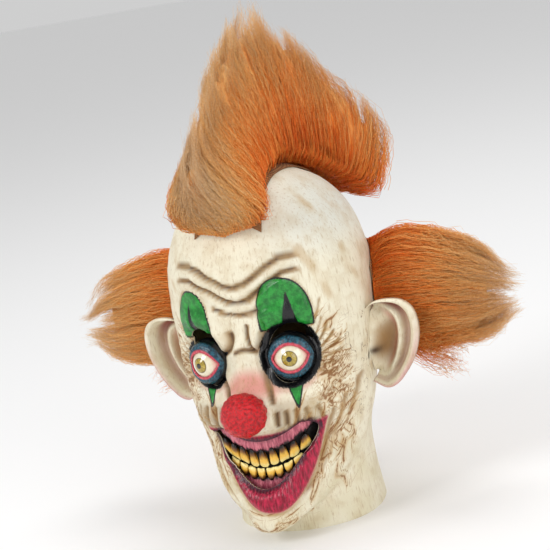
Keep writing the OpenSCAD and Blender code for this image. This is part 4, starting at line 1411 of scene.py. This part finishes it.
material, tree, shader = node_material("single_fibre")
along = noise(tree, 700, 3, 0.6)
tint = attribute(tree, "tint", "Color")
dark = mix(tree, 1.0, tint, rgb(234, 216, 200), "MULTIPLY")
shade = mix(tree, ramp(tree, along, 0.35, 0.65), dark, tint)
coat(tree, shader, shade, ramp(tree, along, 0.3, 0.7, 0.6, 0.42))
shader.inputs["Specular IOR Level"].default_value = 0.3
bump(tree, shader, along, 0.0001, 0.3)
FIBRE = material

# %% [markdown]
# ## The dense inside of a bunch
# Nobody sees the fibres in the middle one by one. A closed body a little smaller
# than the bunch stands for them, with streaks that follow the fibres.

# %% Cores
def crest_core():
    """Rings round the crest: t goes up one flank and down the other as the ring turns."""
    s = np.linspace(0.25, 12.75, 150)[:, None]
    turn = np.linspace(0, 2 * np.pi, 130, endpoint=False)[None]
    t = 0.02 + 0.40 * (1 - np.cos(turn)) + 0 * s
    u = np.sign(np.sin(turn)) * np.abs(np.sin(turn)) ** 0.5 * 0.86 + 0 * s
    t = t * (1 + 0.02 * np.sin(s * 9 + 3 * u) + 0.02 * np.sin(s * 23))
    end = 0.55 + 0.45 * np.sqrt(np.clip(1 - ((s - 6.5) / 6.3) ** 8, 0, 1))
    p = crest_point(s + 0 * turn, u * end, t)
    p += 0.9 * (waves(p * [1, 1, 0.12], 7, 71))[..., None] * unit(np.stack([u, 0 * u, 0 * u + 0.01], -1))
    vector = np.stack([13 * (s + 0 * turn), 30 * u, 7 * t], -1)
    return p, vector, with_alpha(fibre_tint_and_shade(t, 0.25 + 0.2 * waves(p, 40, 72)))


def tuft_core():
    """Ovals along the tuft, closing at the far end."""
    t = np.linspace(0.02, 0.8, 100)[:, None]
    turn = np.linspace(0, 2 * np.pi, 120, endpoint=False)[None]
    locks = 1 + 0.06 * np.sin(turn * 9) + 0.04 * np.sin(turn * 23)
    r = 0.8 * np.sqrt(np.clip(1 - (t / 0.84) ** 5, 0, 1)) * locks
    p = tuft_point(turn + 0 * t, r, t + 0 * turn)
    vector = np.stack([40 * np.cos(turn) + 0 * t, 40 * np.sin(turn) + 0 * t, 6 * t + 0 * turn], -1)
    return p, vector, with_alpha(fibre_tint_and_shade(t + 0 * turn, 0.2 + 0.2 * waves(p, 30, 73)))


def core_piece(name, shape, node, mirror=1):
    """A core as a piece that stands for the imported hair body."""
    p, vector, tint = shape
    piece = make_piece(name, *stack(p * [mirror, 1, 1]), CORE,
                       values={"grain": end_values(vector), "tint": end_values(tint)})
    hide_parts(node)


core_piece("crest_core", crest_core(), "crest_hair")
for side, sign in (("left", 1), ("right", -1)):
    core_piece(f"{side}_tuft_core", tuft_core(), f"{side}_tuft_hair", sign)

# %% [markdown]
# ## Single fibres
# The loose fibres on the outside and at the tips make the bunch soft. Each is a
# thin three-sided rod. Fibres gather into clumps towards their tips, and they
# are crimped, so each point is pushed a little aside.

# %% Rods along paths
# rings of a rod, fibres of a piece, and their half thickness in mm
RINGS, FIBRES, THIN, THICK = 10, 3300, 0.17, 0.34


def rods(name, paths, tint, wide, node):
    """Three-sided rods along paths (n, rings, 3), thinning to the tip, both ends closed."""
    n, k, _ = paths.shape
    t = np.linspace(0, 1, k)
    ahead = unit(np.gradient(paths, axis=1))
    aside = unit(np.cross(ahead, [0.31, 0.17, 0.93]))
    other = np.cross(ahead, aside)
    radius = wide[:, None] * (0.75 + 0.5 * t) * (1 - 0.86 * t**1.6)
    corner = np.radians([0, 120, 240])
    p = (paths[:, :, None] + radius[..., None, None] * (aside[:, :, None] * np.cos(corner)[:, None]
                                                        + other[:, :, None] * np.sin(corner)[:, None]))
    one = grid_faces(k, 3, wrap=True)
    caps = np.array([[2, 1, 0], [3 * k - 3, 3 * k - 2, 3 * k - 1]])
    start = np.arange(n)[:, None, None] * (3 * k)
    faces = [(one[None] + start).reshape(-1, 4), (caps[None] + start).reshape(-1, 3)]
    tint = np.repeat(with_alpha(tint)[:, :, None], 3, 2)
    piece = make_piece(name, p.reshape(-1, 3), faces, FIBRE, values={"tint": tint.reshape(-1, 4)})
    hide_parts(node)


def crimp(paths, amount, local):
    """Pushes each point aside, more towards the tip, by a wave of its own and by chance."""
    n, k, _ = paths.shape
    t = np.linspace(0, 1, k)[None, :, None]
    push = local.normal(size=(n, k, 3)) * 0.75 + 1.2 * np.sin(
        t * local.uniform(14, 30, (n, 1, 1)) + local.uniform(0, 6.28, (n, 1, 3)))
    return paths + amount * push * (0.15 + 0.85 * t)


def gather(values, centres, t, pull):
    """Moves values (n, 2) towards the nearest of the centres as t grows; also tells which centre it was."""
    gap = np.linalg.norm(values[:, None] - centres[None], axis=-1)
    mine = gap.argmin(1)
    return values[:, None] + (centres[mine] - values)[:, None] * (pull * t**1.7)[None, :, None], mine


t_line = np.linspace(0, 1, RINGS)

# %% The crest's fibres
CREST_CLUMPS, RING_WEIGHT = 130, 0.9
for part in range(4):
    local = np.random.default_rng(100 + part)
    s = local.uniform(0.0, 13.0, FIBRES)
    begin = np.maximum(local.uniform(-0.4, 0.55, FIBRES), 0)
    u = local.choice([-1, 1], FIBRES) * local.uniform(0, 1, FIBRES) ** 0.42 * local.normal(1.0, 0.05, FIBRES)
    same = np.random.default_rng(90)
    centres = np.column_stack([same.uniform(0, 13, CREST_CLUMPS), same.uniform(-1.05, 1.05, CREST_CLUMPS)])
    clump_len = same.uniform(0.82, 1.03, CREST_CLUMPS)
    pos, mine = gather(np.column_stack([s * RING_WEIGHT, u]), centres * [RING_WEIGHT, 1.0], t_line, 0.36)
    length = clump_len[mine] * local.uniform(0.8, 1.05, FIBRES)
    # one fibre in ten is longer
    length += (local.uniform(0, 1, FIBRES) < 0.1) * local.uniform(0, 0.07, FIBRES)
    t = begin[:, None] + t_line[None] * (length - begin)[:, None]
    paths = crest_point(pos[..., 0] / RING_WEIGHT, pos[..., 1], t)
    tone = local.uniform(0, 0.6, FIBRES) + 0.3 * smooth(3.0, 0.5, s)
    rods(f"crest_fibres_{part + 1}", crimp(paths, 1.7, local), fibre_tint_and_shade(t, tone[:, None]),
         local.uniform(THIN, THICK, FIBRES), "crest_hair")

# %% The tufts' fibres
TUFT_CLUMPS = 60
for side, sign in (("left", 1), ("right", -1)):
    for part in range(2):
        local = np.random.default_rng(200 + part + (sign > 0) * 10)
        around = local.uniform(0, 2 * np.pi, FIBRES)
        r = local.uniform(0.15, 1, FIBRES) ** 0.4 * local.normal(1, 0.05, FIBRES)
        same = np.random.default_rng(91 + (sign > 0))
        ca, cr = same.uniform(0, 2 * np.pi, TUFT_CLUMPS), same.uniform(0.2, 1.05, TUFT_CLUMPS) ** 0.6
        pos, mine = gather(np.column_stack([r * np.cos(around), r * np.sin(around)]),
                           np.column_stack([cr * np.cos(ca), cr * np.sin(ca)]), t_line, 0.42)
        length = same.uniform(0.72, 1.05, TUFT_CLUMPS)[mine] * local.uniform(0.7, 1.06, FIBRES)
        # some of the lower fibres are short and hang down
        hang = (local.uniform(0, 1, FIBRES) < 0.14) * (np.sin(around) < -0.2)
        length *= 1 - 0.45 * hang
        begin = np.maximum(local.uniform(-0.6, 0.5, FIBRES), 0)
        t = begin[:, None] + t_line[None] * (length - begin)[:, None]
        paths = tuft_point(np.arctan2(pos[..., 1], pos[..., 0]), np.linalg.norm(pos, axis=-1), t)
        paths[..., 2] -= 85 * (hang * local.uniform(0.4, 1, FIBRES))[:, None] * t**1.2
        tone = local.uniform(0, 0.6, FIBRES)
        rods(f"{side}_tuft_fibres_{part + 1}", crimp(paths, 1.7, local) * [sign, 1, 1],
             fibre_tint_and_shade(t, tone[:, None]), local.uniform(THIN, THICK, FIBRES), f"{side}_tuft_hair")

# %% [markdown]
# ## Cloth and backing
# The cloth under the hair, the patch over the slit and the sheet behind the
# teeth have the right shape already. They only need what they're made of.

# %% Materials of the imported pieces
def cloth(name, dark_tone, light_tone):
    """Woven cloth: two sets of fine bands crossing each other."""
    material, tree, shader = node_material(name)
    bands = []
    for direction in ("X", "Z"):
        wave = tree.nodes.new("ShaderNodeTexWave")
        wave.bands_direction = direction
        wave.inputs["Scale"].default_value = 320
        wave.inputs["Distortion"].default_value = 0.6
        tree.links.new(tree.nodes.new("ShaderNodeTexCoord").outputs["Object"], wave.inputs["Vector"])
        bands.append(wave.outputs["Fac"])
    weave = math(tree, "MULTIPLY", bands[0], bands[1])
    coat(tree, shader, mix(tree, weave, dark_tone, light_tone), ramp(tree, weave, 0.0, 1.0, 0.95, 0.8))
    bump(tree, shader, weave, 0.0003, 0.8)
    return material


def dress(node, material):
    """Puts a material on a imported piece."""
    for place in bpy.data.objects[node].material_slots:
        place.material = material


TAN = cloth("hair_backing_cloth", rgb(120, 78, 44), rgb(206, 150, 98))
for node in ("crest_backing", "left_tuft_backing", "right_tuft_backing"):
    dress(node, TAN)
dress("slit_patch", cloth("slit_patch_cloth", rgb(150, 148, 142), rgb(226, 224, 218)))
material, tree, shader = node_material("black_sheet")
cast = noise(tree, 260, 5, 0.6)
shade = mix(tree, ramp(tree, cast, 0.35, 0.7), rgb(7, 6, 7), rgb(30, 24, 24))
coat(tree, shader, shade, ramp(tree, cast, 0.3, 0.7, 0.6, 0.35))
bump(tree, shader, cast, 0.0006, 0.6)
dress("mouth_backing", material)

# %% [markdown]
# ## Room, lights and camera
# A pale floor and three large soft lights show the paint without hard shadows.
# The camera stands to the mask's left and a little above, and is rolled,
# because the wearer's head is tilted.

# %% Floor and lights
FLOOR_HALF = 6.0
# name, place and size in metres, power in watts
LIGHTS = [("key_light", (-1.1, -1.7, 1.5), 0.8, 19), ("fill_light", (1.8, -1.1, 0.8), 1.4, 13),
          ("top_light", (0.2, 0.5, 2.0), 1.0, 12)]


def build_studio():
    """A pale floor, an even sky and three area lights that look at the mask."""
    material, tree, shader = node_material("studio_paper")
    shader.inputs["Base Color"].default_value = rgb(246, 246, 246)
    shader.inputs["Roughness"].default_value = 0.9
    mesh = bpy.data.meshes.new("studio_floor")
    corners = [(-1, -1, 0), (1, -1, 0), (1, 1, 0), (-1, 1, 0)]
    mesh.from_pydata([tuple(FLOOR_HALF * q for q in c) for c in corners], [], [(0, 1, 2, 3)])
    mesh.materials.append(material)
    floor = bpy.data.objects.new("studio_floor", mesh)
    scene.collection.objects.link(floor)
    world = bpy.data.worlds.new("studio_world")
    world.use_nodes = True
    world.node_tree.nodes["Background"].inputs[0].default_value = (1, 1, 1, 1)
    world.node_tree.nodes["Background"].inputs[1].default_value = 0.62
    scene.world = world
    scene.view_settings.view_transform = "Standard"
    for name, place, size, power in LIGHTS:
        light = bpy.data.lights.new(name, "AREA")
        light.energy, light.size = power, size
        lamp = bpy.data.objects.new(name, light)
        lamp.location = place
        aim = np.array([0, 0, 0.2]) - place
        lamp.rotation_euler = Vector(aim).to_track_quat("-Z", "Y").to_euler()
        scene.collection.objects.link(lamp)


# %% Camera
CAMERA_AZ, CAMERA_EL, CAMERA_ROLL = np.radians([27.0, 13.0, 12.0])
# distance, aim height, and shifts to the left and upwards, all in mm
DISTANCE, AIM_Z, SHIFT_LEFT, SHIFT_UP = 1500.0, 141.0, 4.25, 66.3


def aim_camera():
    """Back, right and up of a camera from its azimuth, elevation and roll; then its place along them."""
    a, e, r = CAMERA_AZ, CAMERA_EL, CAMERA_ROLL
    back = np.array([np.sin(a) * np.cos(e), -np.cos(a) * np.cos(e), np.sin(e)])
    right = np.array([np.cos(a), np.sin(a), 0.0])
    up = np.cross(back, right)
    right, up = right * np.cos(r) - up * np.sin(r), right * np.sin(r) + up * np.cos(r)
    data = bpy.data.cameras.new("camera")
    data.lens, data.sensor_width = 115.5, 36.0
    camera = bpy.data.objects.new("camera", data)
    eye = np.array([0, 0, AIM_Z]) + back * DISTANCE - right * SHIFT_LEFT + up * SHIFT_UP
    turned = np.eye(4)
    turned[:3, 0], turned[:3, 1], turned[:3, 2] = right, up, back
    turned[:3, 3] = to_frame(eye)
    camera.matrix_world = Matrix(turned.tolist())
    scene.collection.objects.link(camera)
    scene.camera = camera


build_studio()
aim_camera()
